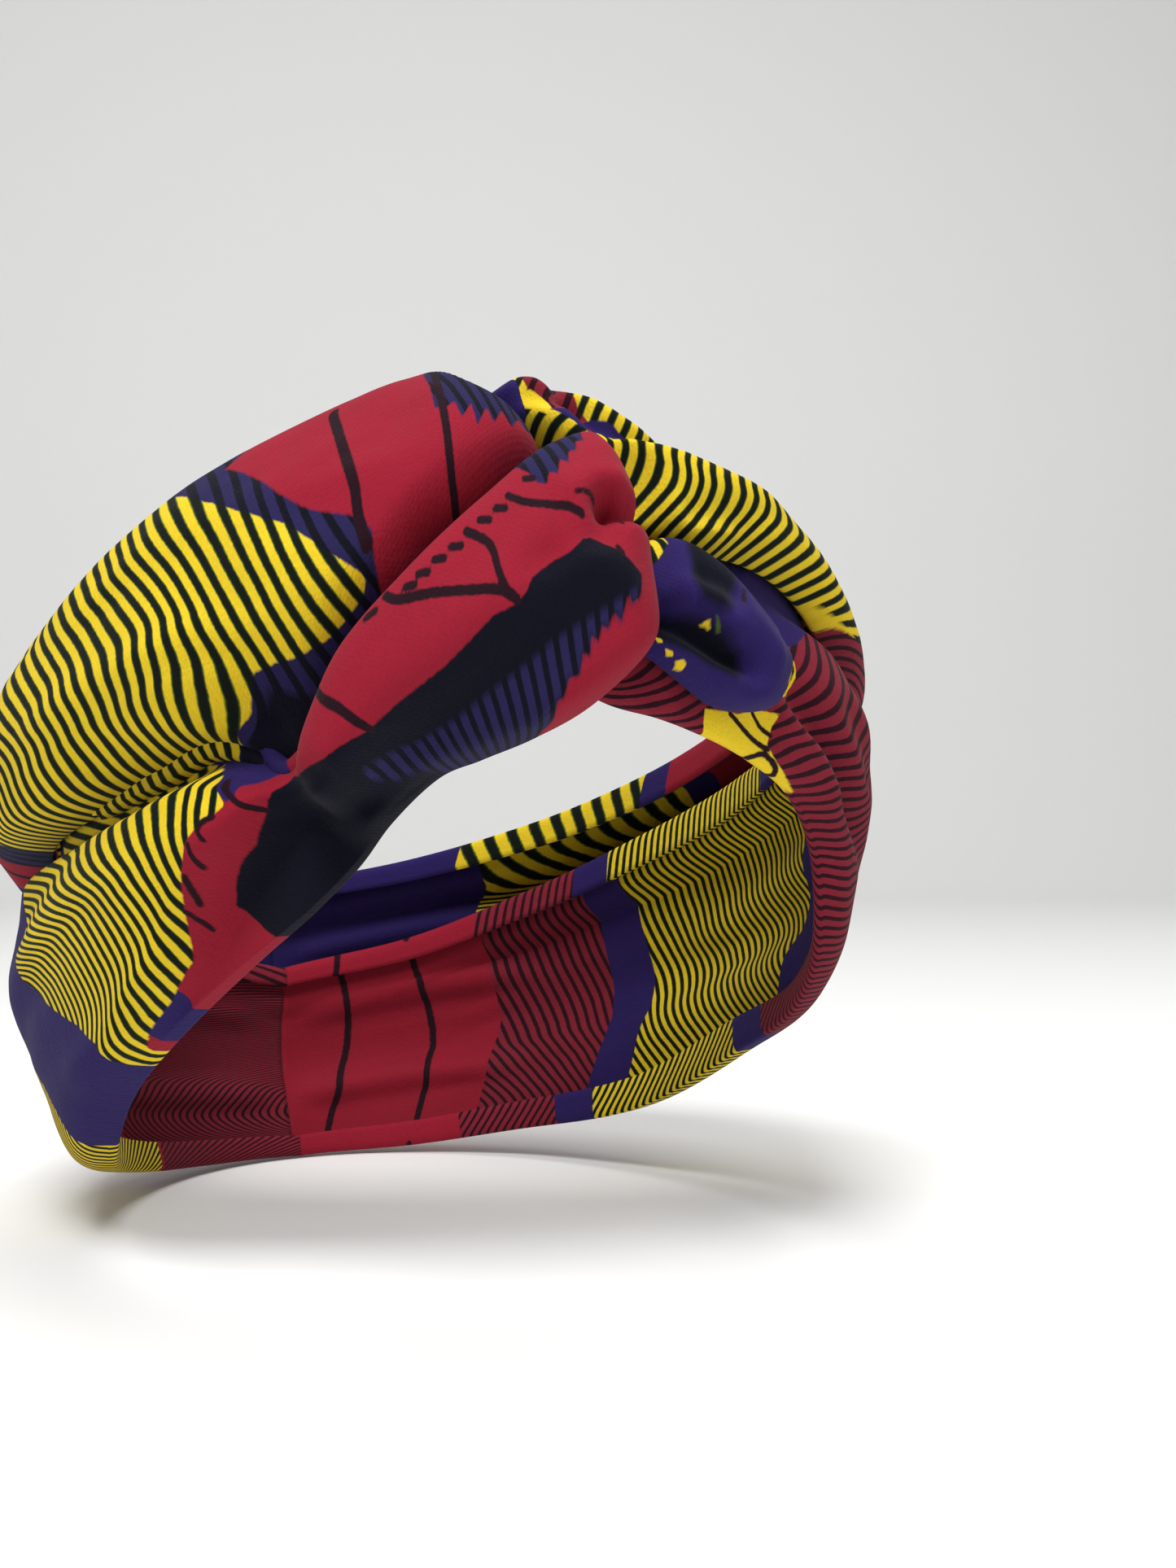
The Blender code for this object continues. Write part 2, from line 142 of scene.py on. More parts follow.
class Stripes(Enum):
    """Which stripes a printed patch carries, as their cover and their colour."""

    NONE = (0.0, Tint.INK)
    BLACK = (0.40, Tint.INK)
    BROWN = (0.40, Tint.DARK_RED)
    BARS = (0.42, Tint.NAVY)

class Station(NamedTuple):
    """One section across a fold.

    Attributes:
        turn_hi, lift_hi: where its upper rim lies.
        turn_lo, lift_lo: where its lower rim lies.
        base_hi, base_lo: heights of the rims.
        puff_hi, puff_mid, puff_lo: heights of the face between them.
        lip: how far the rims are turned in behind, in millimetres.
    """

    turn_hi: float
    lift_hi: float
    turn_lo: float
    lift_lo: float
    base_hi: float
    puff_hi: float
    puff_mid: float
    puff_lo: float
    base_lo: float
    lip: float


class Crease(NamedTuple):
    """A valley pressed into a fold, or a ridge raised on it where its depth is negative.

    Attributes:
        line: points of turn and lift.
        depth: at its middle, in millimetres.
        width: from its middle to where it has lost most of its depth, in millimetres.
    """

    line: tuple[tuple[float, float], ...]
    depth: float
    width: float


class Tuck(NamedTuple):
    """A line past which a fold drops, because it runs under a neighbour.

    Attributes:
        line: points of turn and lift.
        side: 1 to drop on the line's left, -1 on its right.
        floor: height it drops to, in millimetres.
        run: distance over which it drops, in millimetres.
        shift: how far past the line it is all the way down, in millimetres.
    """

    line: tuple[tuple[float, float], ...]
    side: int
    floor: float
    run: float
    shift: float


class Drop(NamedTuple):
    """A line past which a fold slopes down towards its rim.

    Attributes:
        line: points of turn and lift.
        side: 1 to slope on the line's left, -1 on its right.
        depth: how far it comes down, in millimetres.
        run: distance over which it does, in millimetres.
    """

    line: tuple[tuple[float, float], ...]
    side: int
    depth: float
    run: float


class Patch(NamedTuple):
    """A printed area: its colour, its stripes and its outline as along and share.

    Most areas are print, and a few soft ones are painted shade. The area may be kept within an earlier
    one, given by its number, and its edge may be soft, given as the millimetres over which it fades.
    """

    tint: Tint
    stripes: Stripes
    outline: tuple[tuple[float, float], ...]
    within: int = -1
    soft: float = 0.3


class Stroke(NamedTuple):
    """A drawn line of the print, as points of along and share, and half its width in millimetres."""

    half_width: float
    points: tuple[tuple[float, float], ...]


class Mark(NamedTuple):
    """How many stripes have passed at a place along the strip."""

    along: float
    count: float


class Lean(NamedTuple):
    """How far stripes shift along the strip at a place across it, in millimetres."""

    share: float
    shift: float


def table(kind: type, *rows: tuple) -> tuple:
    """Rows of numbers as named rows."""
    return tuple(kind(*row) for row in rows)


def dashes(half_width: float, lines: tuple) -> tuple[Stroke, ...]:
    """Drawn lines of one width."""
    return tuple(Stroke(half_width, line) for line in lines)


@dataclass(frozen=True)
class Chart:
    """The print on one fold.

    Attributes:
        ground: colour under all patches.
        patches: printed areas, and a few areas of painted shade, in painting order.
        strokes: drawn lines over the patches.
        marks: count of stripes along the fold.
        leans: how far stripes shift along the fold at each place across it.
        ground_stripes: stripes of the ground.
        lean_from: where the lean starts to grow along the fold, in millimetres.
        lean_rate: how fast it grows; 0 for a lean that is the same all along.
        bends: small shifts that don't grow along the fold.
    """

    ground: Tint
    patches: tuple[Patch, ...]
    strokes: tuple[Stroke, ...]
    marks: tuple[Mark, ...]
    leans: tuple[Lean, ...]
    ground_stripes: Stripes = Stripes.NONE
    lean_from: float = 0.0
    lean_rate: float = 0.0
    bends: tuple[Lean, ...] = ()


@dataclass(frozen=True)
class Gathers:
    """The finest folds of the cloth, which crowd at its gathered ends.

    Lengths, widths, reaches and heights are in millimetres, shares and crowding are parts of the
    fold's ripple.
    """

    knot_reach: float = 45.0
    knot_crowding: float = 0.8
    seam_reach: float = 30.0
    seam_crowding: float = 1.3
    broad_length: float = 34.0
    broad_width: float = 8.0
    fine_length: float = 17.0
    fine_width: float = 3.6
    fine_slant: float = 30.0
    fine_share: float = 0.45
    pucker_length: float = 6.0
    pucker_width: float = 7.0
    pucker_share: float = 0.18
    start_height: float = 8.0
    full_rise: float = 8.0


@dataclass(frozen=True)
class Hollow:
    """The band's rounded hollow, as the surface that heights are measured from, in metres."""

    half_width: float = 0.076
    half_length: float = 0.097
    crown_rise: float = 0.080
    widest_z: float = -0.005
    neck_taper: float = 0.09

    def point(self, turn: np.ndarray, lift: np.ndarray, height: np.ndarray) -> np.ndarray:
        """Place over the hollow.

        Args:
            turn: degrees round the upright axis.
            lift: degrees up from the widest level.
            height: millimetres off the hollow's surface.

        Returns:
            Points in metres, one per input place.
        """
        across = np.radians(turn)
        rise = np.radians(lift)
        above = rise >= 0
        girth = np.where(above, np.cos(rise), 1 - self.neck_taper * rise * rise)
        girth_slope = np.where(above, -np.sin(rise), -2 * self.neck_taper * rise)
        level = self.widest_z + self.crown_rise * np.where(above, np.sin(rise), rise)
        level_slope = self.crown_rise * np.where(above, np.cos(rise), 1.0)
        sideways = self.half_width * girth * np.sin(across)
        forwards = -self.half_length * girth * np.cos(across)
        spot = np.stack([sideways, forwards, level], -1)
        out = np.stack(
            [
                self.half_length * girth * level_slope * np.sin(across),
                -self.half_width * girth * level_slope * np.cos(across),
                -self.half_width * self.half_length * girth * girth_slope,
            ],
            -1,
        )
        out /= np.linalg.norm(out, axis=-1, keepdims=True)
        return spot + (np.asarray(height) * MM)[..., None] * out


HOLLOW = Hollow()
GATHERS = Gathers()


def ease(share: np.ndarray) -> np.ndarray:
    """Smooth step from 0 to 1."""
    share = np.clip(share, 0.0, 1.0)
    return share * share * (3 - 2 * share)


def spline(knots: np.ndarray, values: np.ndarray, places: np.ndarray) -> np.ndarray:
    """Smooth curve through rows of values.

    Args:
        knots: increasing places of the rows.
        values: one row of values per knot.
        places: where the curve is read.

    Returns:
        One row of values per place.
    """
    knots = np.asarray(knots, float)
    values = np.asarray(values, float)
    slopes = np.empty_like(values)
    gaps = np.diff(knots)[:, None]
    chords = np.diff(values, axis=0) / gaps
    slopes[1:-1] = (chords[:-1] * gaps[1:] + chords[1:] * gaps[:-1]) / (gaps[:-1] + gaps[1:])
    slopes[0] = chords[0]
    slopes[-1] = chords[-1]
    cell = np.clip(np.searchsorted(knots, places, side="right") - 1, 0, len(knots) - 2)
    span = (knots[cell + 1] - knots[cell])[:, None]
    t = ((places - knots[cell])[:, None]) / span
    start = values[cell] * (2 * t**3 - 3 * t**2 + 1) + slopes[cell] * span * (t**3 - 2 * t**2 + t)
    end = values[cell + 1] * (3 * t**2 - 2 * t**3) + slopes[cell + 1] * span * (t**3 - t**2)
    return start + end


def curve(rows: tuple, places: np.ndarray) -> np.ndarray:
    """Smooth curve through rows of place and value, straight beyond its ends.

    Args:
        rows: rows of place and value.
        places: where the curve is read.

    Returns:
        One value per place.
    """
    knots = np.array([row[0] for row in rows], float)
    values = np.array([row[1] for row in rows], float)
    held = np.clip(places, knots[0], knots[-1])
    inside = spline(knots, values[:, None], held.ravel())[:, 0].reshape(places.shape)
    first = (values[1] - values[0]) / (knots[1] - knots[0])
    last = (values[-1] - values[-2]) / (knots[-1] - knots[-2])
    slope = np.where(places < knots[0], first, last)
    return inside + (places - held) * slope


def line_distance(turn: np.ndarray, lift: np.ndarray, line: tuple) -> tuple[np.ndarray, np.ndarray]:
    """Signed distance to a line over the hollow.

    Args:
        turn: degrees round the upright axis.
        lift: degrees up from the widest level.
        line: points of turn and lift.

    Returns:
        The distance in millimetres, and how far along the line it lies, from 0 to 1.
    """
    spot = np.stack([turn * MM_PER_TURN, lift * MM_PER_LIFT], -1)
    points = np.array(line, float) * (MM_PER_TURN, MM_PER_LIFT)
    best = np.full(turn.shape, FAR)
    signed = np.zeros(turn.shape)
    along = np.zeros(turn.shape)
    last = len(points) - 2
    for index, (a, b) in enumerate(zip(points[:-1], points[1:])):
        run = b - a
        share = ((spot - a) @ run) / (run @ run)
        low = -np.inf if index == 0 else 0.0
        high = np.inf if index == last else 1.0
        held = np.clip(share, low, high)
        apart = spot - (a + held[..., None] * run)
        distance = np.linalg.norm(apart, axis=-1)
        nearer = distance < best
        side = np.sign(run[0] * apart[..., 1] - run[1] * apart[..., 0])
        best = np.where(nearer, distance, best)
        signed = np.where(nearer, side * distance, signed)
        along = np.where(nearer, index + share, along)
    return signed, along / (last + 1)


def soft_noise(x: np.ndarray, y: np.ndarray, seed: int) -> np.ndarray:
    """Smooth noise from -1 to 1 on a lattice of one-unit cells.

    Args:
        x: first coordinate, in cells.
        y: second coordinate, in cells.
        seed: fixed seed of the lattice.

    Returns:
        One value per place.
    """
    size = 64
    lattice = np.random.RandomState(seed).uniform(-1.0, 1.0, (size, size))
    column = np.floor(x).astype(int)
    row = np.floor(y).astype(int)
    fx = ease(x - column)
    fy = ease(y - row)
    low = lattice[column % size, row % size] * (1 - fx) + lattice[(column + 1) % size, row % size] * fx
    high = lattice[column % size, (row + 1) % size] * (1 - fx)
    high = high + lattice[(column + 1) % size, (row + 1) % size] * fx
    return low * (1 - fy) + high * fy


def link_object(name: str, data: bpy.types.ID) -> bpy.types.Object:
    """Make an object and put it in the scene.

    Args:
        name: the object's name.
        data: its mesh, lamp or camera.

    Returns:
        The object.
    """
    item = bpy.data.objects.new(name, data)
    bpy.context.collection.objects.link(item)
    return item


def face_out(mesh: bpy.types.Mesh) -> None:
    """Point a closed mesh's faces outwards.

    Args:
        mesh: the mesh, changed in place.
    """
    body = bmesh.new()
    body.from_mesh(mesh)
    bmesh.ops.recalc_face_normals(body, faces=body.faces)
    body.to_mesh(mesh)
    body.free()


class Sheet(NamedTuple):
    """A fold's fine grid of its outer face.

    Attributes:
        points: in metres.
        normals: outwards.
        along: millimetres along the fold.
        share: place across the fold.
        width: the fold's width at each place, in millimetres.
    """

    points: np.ndarray
    normals: np.ndarray
    along: np.ndarray
    share: np.ndarray
    width: np.ndarray

    def to_segment(self, start: tuple, end: tuple) -> np.ndarray:
        """Distance to one straight piece of the print.

        Args:
            start: the piece's first end, as along and share.
            end: its other end.

        Returns:
            One distance in millimetres per point of the grid.
        """
        ax = start[0] - self.along
        ay = (start[1] - self.share) * self.width
        bx = end[0] - self.along
        by = (end[1] - self.share) * self.width
        rx = bx - ax
        ry = by - ay
        held = np.clip(-(ax * rx + ay * ry) / np.maximum(rx * rx + ry * ry, TINY), 0.0, 1.0)
        return np.hypot(ax + held * rx, ay + held * ry)

    def to_outline(self, outline: tuple) -> np.ndarray:
        """Signed distance to a printed outline, negative inside it.

        Args:
            outline: corners as along and share.

        Returns:
            One distance in millimetres per point of the grid.
        """
        best = np.full(self.along.shape, FAR)
        inside = np.zeros(self.along.shape, bool)
        for start, end in zip(outline, outline[1:] + outline[:1]):
            best = np.minimum(best, self.to_segment(start, end))
            spans = (start[1] > self.share) != (end[1] > self.share)
            rise = end[1] - start[1] if end[1] != start[1] else TINY
            crossing = (end[0] - start[0]) * (self.share - start[1]) / rise + start[0]
            inside ^= spans & (self.along < crossing)
        return np.clip(np.where(inside, -best, best), -PRINT_REACH, PRINT_REACH)

    def to_strokes(self, strokes: tuple[Stroke, ...]) -> np.ndarray:
        """Distance to the nearest drawn line's edge, negative on the line.

        Args:
            strokes: the drawn lines.

        Returns:
            One distance in millimetres per point of the grid.
        """
        best = np.full(self.along.shape, PRINT_REACH)
        for stroke in strokes:
            knots = np.arange(len(stroke.points), dtype=float)
            steps = np.linspace(0, knots[-1], STROKE_STEPS * len(knots))
            smooth = spline(knots, np.array(stroke.points), steps)
            for start, end in zip(smooth[:-1], smooth[1:]):
                best = np.minimum(best, self.to_segment(start, end) - stroke.half_width)
        return best


@dataclass
class Fold:
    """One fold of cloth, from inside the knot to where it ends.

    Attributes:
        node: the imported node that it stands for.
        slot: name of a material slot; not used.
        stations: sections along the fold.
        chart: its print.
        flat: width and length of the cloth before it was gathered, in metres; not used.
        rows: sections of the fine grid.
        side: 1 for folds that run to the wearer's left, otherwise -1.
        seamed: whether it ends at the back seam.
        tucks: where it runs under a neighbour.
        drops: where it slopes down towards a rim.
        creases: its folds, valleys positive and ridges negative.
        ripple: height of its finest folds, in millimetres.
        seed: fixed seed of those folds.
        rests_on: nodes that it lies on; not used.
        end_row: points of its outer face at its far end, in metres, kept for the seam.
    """

    node: str
    slot: str
    stations: tuple[Station, ...]
    chart: Chart
    flat: tuple[float, float]
    rows: int
    side: int
    seamed: bool = True
    tucks: tuple[Tuck, ...] = ()
    drops: tuple[Drop, ...] = ()
    creases: tuple[Crease, ...] = ()
    ripple: float = 0.5
    seed: int = 1
    rests_on: tuple[str, ...] = ()
    end_row: np.ndarray = field(init=False, repr=False, default_factory=lambda: np.zeros((0, 3)))

    def section_steps(self) -> np.ndarray:
        """Places along a section, in steps between its guide points."""
        runs = [np.linspace(i, i + 1, n, endpoint=False) for i, n in enumerate(SECTION_POINTS)]
        return np.concatenate(runs + [[float(len(SECTION_POINTS))]])

    def places(self) -> np.ndarray:
        """Distance along the fold's middle at each station.

        Returns:
            One distance in millimetres per station, from 0.
        """
        rows = np.array(self.stations)
        middle_turn = (rows[:, 0] + rows[:, 2]) / 2
        middle_lift = (rows[:, 1] + rows[:, 3]) / 2
        spots = HOLLOW.point(middle_turn, middle_lift, rows[:, 6]) / MM
        return np.concatenate([[0.0], np.cumsum(np.linalg.norm(np.diff(spots, axis=0), axis=1))])

    def guides(self, rows: np.ndarray) -> tuple[np.ndarray, np.ndarray, np.ndarray]:
        """Guide points of each section.

        Args:
            rows: stations read along the fold.

        Returns:
            Distance from the upper rim and height of each guide point, and each section's width.
        """
        turn_hi, lift_hi, turn_lo, lift_lo, base_hi, puff_hi, puff_mid, puff_lo, base_lo, lip = rows.T
        zero = np.zeros_like(lip)
        apart = HOLLOW.point(turn_hi, lift_hi, zero) - HOLLOW.point(turn_lo, lift_lo, zero)
        width = np.linalg.norm(apart, axis=-1) / MM
        rim_hi = base_hi + RIM_RADIUS
        rim_lo = base_lo + RIM_RADIUS
        shoulder_hi = rim_hi + SHOULDER_RISE * (puff_hi - rim_hi)
        shoulder_lo = rim_lo + SHOULDER_RISE * (puff_lo - rim_lo)
        reach = np.minimum(SHOULDER_SHARE * width, SHOULDER_REACH)
        across = [lip, RIM_TURN + zero, zero, reach]
        across += [share * width for share in FACE_SHARES]
        across += [width - reach, width, width - RIM_TURN, width - lip]
        height = [base_hi, base_hi, rim_hi, shoulder_hi, puff_hi, puff_mid]
        height += [puff_lo, shoulder_lo, rim_lo, base_lo, base_lo]
        return np.stack(across, 1), np.stack(height, 1), width

    def press(
        self, turn: np.ndarray, lift: np.ndarray, height: np.ndarray, on_face: np.ndarray
    ) -> np.ndarray:
        """Tuck the fold under its neighbours, slope it at its drops and crease it.

        Args:
            turn: degrees round the upright axis.
            lift: degrees up from the widest level.
            height: millimetres off the hollow's surface.
            on_face: 1 on the outer face, falling to 0 at its turned rims.

        Returns:
            The heights after it.
        """
        for tuck in self.tucks:
            signed, along = line_distance(turn, lift, tuck.line)
            past = ease(1 - (tuck.shift - tuck.side * signed) / tuck.run)
            keep = 1 - past * ease(1 + along / TUCK_FADE)
            lowered = tuck.floor + (height - tuck.floor) * keep
            height = np.where(height > tuck.floor, height + (lowered - height) * on_face, height)
        for drop in self.drops:
            signed, along = line_distance(turn, lift, drop.line)
            dip = drop.depth * ease(drop.side * signed / drop.run)
            height = self.sink(height, dip, along, on_face)
        for crease in self.creases:
            signed, along = line_distance(turn, lift, crease.line)
            dip = crease.depth * np.exp(-((signed / crease.width) ** 2))
            height = self.sink(height, dip, along, on_face)
        return height

    @staticmethod
    def sink(
        height: np.ndarray, dip: np.ndarray, along: np.ndarray, on_face: np.ndarray
    ) -> np.ndarray:
        """Lower the outer face, less towards a line's ends and where the cloth is low.

        Args:
            height: millimetres off the hollow's surface.
            dip: how far it would sink, in millimetres.
            along: how far along the line each place lies, from 0 to 1.
            on_face: 1 on the outer face, falling to 0 at its turned rims.

        Returns:
            The heights after it.
        """
        fade = ease(along / CREASE_FADE) * ease((1 - along) / CREASE_FADE)
        room = np.clip((height - 2 * RIM_RADIUS - REST) / CREASE_ROOM, 0.0, 1.0)
        return height - dip * fade * on_face * room

    def small_folds(
        self, along: np.ndarray, cloth: np.ndarray, height: np.ndarray, length: float
    ) -> np.ndarray:
        """Height of the finest folds, which run along the cloth.

        Args:
            along: millimetres along the fold.
            cloth: millimetres across it.
            height: millimetres off the hollow's surface.
            length: the fold's length, in millimetres.

        Returns:
            What they add to the height, in millimetres.
        """
        sizes = GATHERS
        knot = np.exp(-((along / sizes.knot_reach) ** 2))
        seam = np.exp(-(((length - along) / sizes.seam_reach) ** 2)) if self.seamed else 0.0
        gather = 1.0 + sizes.knot_crowding * knot + sizes.seam_crowding * seam
        broad = soft_noise(along / sizes.broad_length, cloth / sizes.broad_width, self.seed)
        slanted = along / sizes.fine_length + cloth / sizes.fine_slant
        fine = soft_noise(slanted, cloth / sizes.fine_width, self.seed + 1)
        puckers = soft_noise(along / sizes.pucker_length, cloth / sizes.pucker_width, self.seed + 2)
        room = ease((height - sizes.start_height) / sizes.full_rise)
        folds = broad + sizes.fine_share * gather * fine + sizes.pucker_share * puckers
        return self.ripple * room * folds

    def levels(self, length: float) -> np.ndarray:
        """Places of the fine grid's sections, closest where the knot's print is drawn.

        Args:
            length: the fold's length, in millimetres.

        Returns:
            One distance in millimetres along the fold per section.
        """
        steps = np.linspace(0.0, 1.0, self.rows)
        if length <= FINE_LENGTH:
            return steps * length
        fine = np.clip(steps / FINE_ROWS, 0.0, 1.0) * FINE_LENGTH
        coarse = np.clip((steps - FINE_ROWS) / (1 - FINE_ROWS), 0.0, 1.0) * (length - FINE_LENGTH)
        return fine + coarse

    def sheet(self) -> Sheet:
        """The fine grid of the fold's outer face.

        Returns:
            Its points, its normals and what the print needs.
        """
        places = self.places()
        levels = self.levels(places[-1])
        rows = spline(places, np.array(self.stations), levels)
        across, height, width = self.guides(rows)
        guides = np.arange(across.shape[1], dtype=float)
        steps = self.section_steps()
        across = spline(guides, across.T, steps).T
        height = spline(guides, height.T, steps).T
        share = across / width[:, None]
        turn = rows[:, 0:1] + (rows[:, 2:3] - rows[:, 0:1]) * share
        lift = rows[:, 1:2] + (rows[:, 3:4] - rows[:, 1:2]) * share
        on_face = ease(np.minimum(steps - LIP_STEPS, guides[-1] - LIP_STEPS - steps) + 1)[None, :]
        height = self.press(turn, lift, height, on_face)
        along = np.repeat(levels[:, None], len(steps), 1)
        wide = np.repeat(width[:, None], len(steps), 1)
        height = height + self.small_folds(along, share * wide, height, places[-1]) * on_face
        points = HOLLOW.point(turn, lift, height)
        down = np.gradient(points, levels, axis=0)
        across_face = np.gradient(points, axis=1)
        normals = np.cross(down, across_face) * self.side
        normals /= np.maximum(np.linalg.norm(normals, axis=-1, keepdims=True), TINY_AREA)
        if self.seamed:
            normals[-1, :, 0] = 0.0
        printed = np.where(steps[None, :] < LIP_STEPS, -share, share)
        printed = np.where(steps[None, :] > guides[-1] - LIP_STEPS, 2 - share, printed)
        return Sheet(points, normals, along, printed, wide)

    def mesh(self, sheet: Sheet) -> bpy.types.Mesh:
        """Closed wall of cloth grown inwards from the fine grid.

        Args:
            sheet: the fold's fine grid.

        Returns:
            The mesh, with its map of the cloth and the attributes of its print.
        """
        rows, columns = sheet.along.shape
        inner = sheet.points - WALL * MM * sheet.normals
        verts = np.concatenate([sheet.points.reshape(-1, 3), inner.reshape(-1, 3)])
        index = np.arange(rows * columns).reshape(rows, columns)
        below = index + rows * columns
        a, b, c, d = index[:-1, :-1], index[:-1, 1:], index[1:, 1:], index[1:, :-1]
        e, f, g, h = below[:-1, :-1], below[:-1, 1:], below[1:, 1:], below[1:, :-1]
        faces = [np.stack([a, b, c, d], -1).reshape(-1, 4), np.stack([e, h, g, f], -1).reshape(-1, 4)]
        faces.append(np.stack([index[:-1, 0], index[1:, 0], below[1:, 0], below[:-1, 0]], -1))
        faces.append(np.stack([index[1:, -1], index[:-1, -1], below[:-1, -1], below[1:, -1]], -1))
        faces.append(np.stack([index[0, 1:], index[0, :-1], below[0, :-1], below[0, 1:]], -1))
        faces.append(np.stack([index[-1, :-1], index[-1, 1:], below[-1, 1:], below[-1, :-1]], -1))
        mesh = bpy.data.meshes.new(self.node + "_cloth")
        mesh.from_pydata(verts.tolist(), [], np.concatenate(faces).tolist())
        face_out(mesh)
        mesh.shade_smooth()
        self.lay_map(mesh, sheet)
        self.lay_print(mesh, sheet)
        return mesh

    def lay_map(self, mesh: bpy.types.Mesh, sheet: Sheet) -> None:
        """Give the mesh a map of the flat cloth, one unit to the metre.

        Args:
            mesh: the wall of cloth, outer points first.
            sheet: the fine grid that it was made from.
        """
        flat = np.stack([sheet.along, sheet.share * sheet.width], -1).reshape(-1, 2) * MM
        flat = np.concatenate([flat, flat])
        corners = np.empty(len(mesh.loops), int)
        mesh.loops.foreach_get("vertex_index", corners)
        layer = mesh.uv_layers.new(name="cloth")
        layer.data.foreach_set("uv", flat[corners].ravel())

    def lay_print(self, mesh: bpy.types.Mesh, sheet: Sheet) -> None:
        """Store the print's distances and stripe run as attributes of the mesh.

        Args:
            mesh: the wall of cloth, outer points first.
            sheet: the fine grid that it was made from.
        """
        patches = [sheet.to_outline(patch.outline) for patch in self.chart.patches]
        for number, patch in enumerate(self.chart.patches):
            if patch.within >= 0:
                patches[number] = np.maximum(patches[number], patches[patch.within])
        for number, distance in enumerate(patches):
            self.store(mesh, "patch_%d" % number, distance)
        self.store(mesh, "stroke", sheet.to_strokes(self.chart.strokes))
        self.store(mesh, "stripe", self.stripe_run(sheet))
        inside = np.concatenate([np.zeros(sheet.along.size), np.ones(sheet.along.size)])
        mesh.attributes.new("inside", "FLOAT", "POINT").data.foreach_set("value", inside)

    def stripe_run(self, sheet: Sheet) -> np.ndarray:
        """Count of stripes passed at each place of the fold.

        Args:
            sheet: the fold's fine grid.

        Returns:
            One count per point of the grid, whole between two stripes.
        """
        chart = self.chart
        shift = curve(chart.leans, sheet.share)
        along = sheet.along
        if chart.bends:
            along = along - curve(chart.bends, sheet.share)
        if not chart.lean_rate:
            return curve(chart.marks, along - shift)
        grown = shift * chart.lean_rate
        sheared = (along + grown * chart.lean_from) / (1 + grown)
        return curve(chart.marks, np.where(along > chart.lean_from, sheared, along))

    @staticmethod
    def store(mesh: bpy.types.Mesh, name: str, values: np.ndarray) -> None:
        """Store a value of the outer grid on both faces of the cloth."""
        flat = np.concatenate([values.ravel(), values.ravel()])
        mesh.attributes.new(name, "FLOAT", "POINT").data.foreach_set("value", flat)

    def build(self, cotton: "PrintedCotton") -> bpy.types.Object:
        """Make the fold and put it in place of its node.

        Args:
            cotton: the finish that dresses it.

        Returns:
            The fold's object.
        """
        sheet = self.sheet()
        self.end_row = sheet.points[-1]
        piece = link_object(self.node + "_cloth", self.mesh(sheet))
        piece.data.materials.append(cotton.material(self.node, self.chart))
        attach(piece, BODY)
        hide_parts(self.node)
        LOG.info("%s: %d faces", piece.name, len(piece.data.polygons))
        return piece


class Graph:
    """A shader node tree and short ways to add to it."""

    def __init__(self, tree: bpy.types.NodeTree) -> None:
        """Work on a tree."""
        self.tree = tree

    def add(self, kind: str, **settings: object) -> bpy.types.Node:
        """Add a node.

        Args:
            kind: the node's type.
            settings: properties of the node.

        Returns:
            The node.
        """
        node = self.tree.nodes.new(kind)
        for name, value in settings.items():
            setattr(node, name, value)
        return node

    def feed(self, socket: bpy.types.NodeSocket, value: object) -> None:
        """Link a socket, or set it where the value is plain.

        Args:
            socket: the input to feed.
            value: an output, a plain value, or None to leave it.
        """
        if isinstance(value, bpy.types.NodeSocket):
            self.tree.links.new(value, socket)
        elif value is not None:
            socket.default_value = value

    def math(self, operation: str, *values: object, clamp: bool = False) -> bpy.types.NodeSocket:
        """Work out a number.

        Args:
            operation: the Math node's operation.
            values: what its inputs take.
            clamp: whether the result is held from 0 to 1.

        Returns:
            The result.
        """
        node = self.add("ShaderNodeMath", operation=operation, use_clamp=clamp)
        for socket, value in zip(node.inputs, values):
            self.feed(socket, value)
        return node.outputs[0]

    def mix(
        self, factor: object, first: object, second: object, blend: str = "MIX"
    ) -> bpy.types.NodeSocket:
        """Mix two colours.

        Args:
            factor: how much of the second.
            first: the colour below.
            second: the colour on top.
            blend: the way they mix.

        Returns:
            The colour.
        """
        node = self.add("ShaderNodeMix", data_type="RGBA", blend_type=blend)
        self.feed(node.inputs[0], factor)
        self.feed(node.inputs[6], first)
        self.feed(node.inputs[7], second)
        return node.outputs[2]

    def noise(
        self, place: bpy.types.NodeSocket, scale: object, detail: float, dimensions: str = "2D"
    ) -> bpy.types.NodeSocket:
        """Read a noise pattern.

        Args:
            place: where it is read.
            scale: cells per unit.
            detail: how many finer layers it has.
            dimensions: whether it lies on the cloth's map or in space.

        Returns:
            Its value, from 0 to 1.
        """
        node = self.add("ShaderNodeTexNoise", noise_dimensions=dimensions)
        self.feed(node.inputs["Vector"], place)
        self.feed(node.inputs["Scale"], scale)
        self.feed(node.inputs["Detail"], detail)
        return node.outputs["Fac"]

    def attribute(self, name: str) -> bpy.types.NodeSocket:
        """Value of a mesh attribute."""
        return self.add("ShaderNodeAttribute", attribute_name=name).outputs["Fac"]

    def group(self, tree: bpy.types.NodeTree, **values: object) -> bpy.types.Node:
        """Place a node group.

        Args:
            tree: the group.
            values: its inputs by name, in small letters and joined by underscores.

        Returns:
            The group's node.
        """
        node = self.add("ShaderNodeGroup")
        node.node_tree = tree
        for name, value in values.items():
            self.feed(node.inputs[name.replace("_", " ").title()], value)
        return node


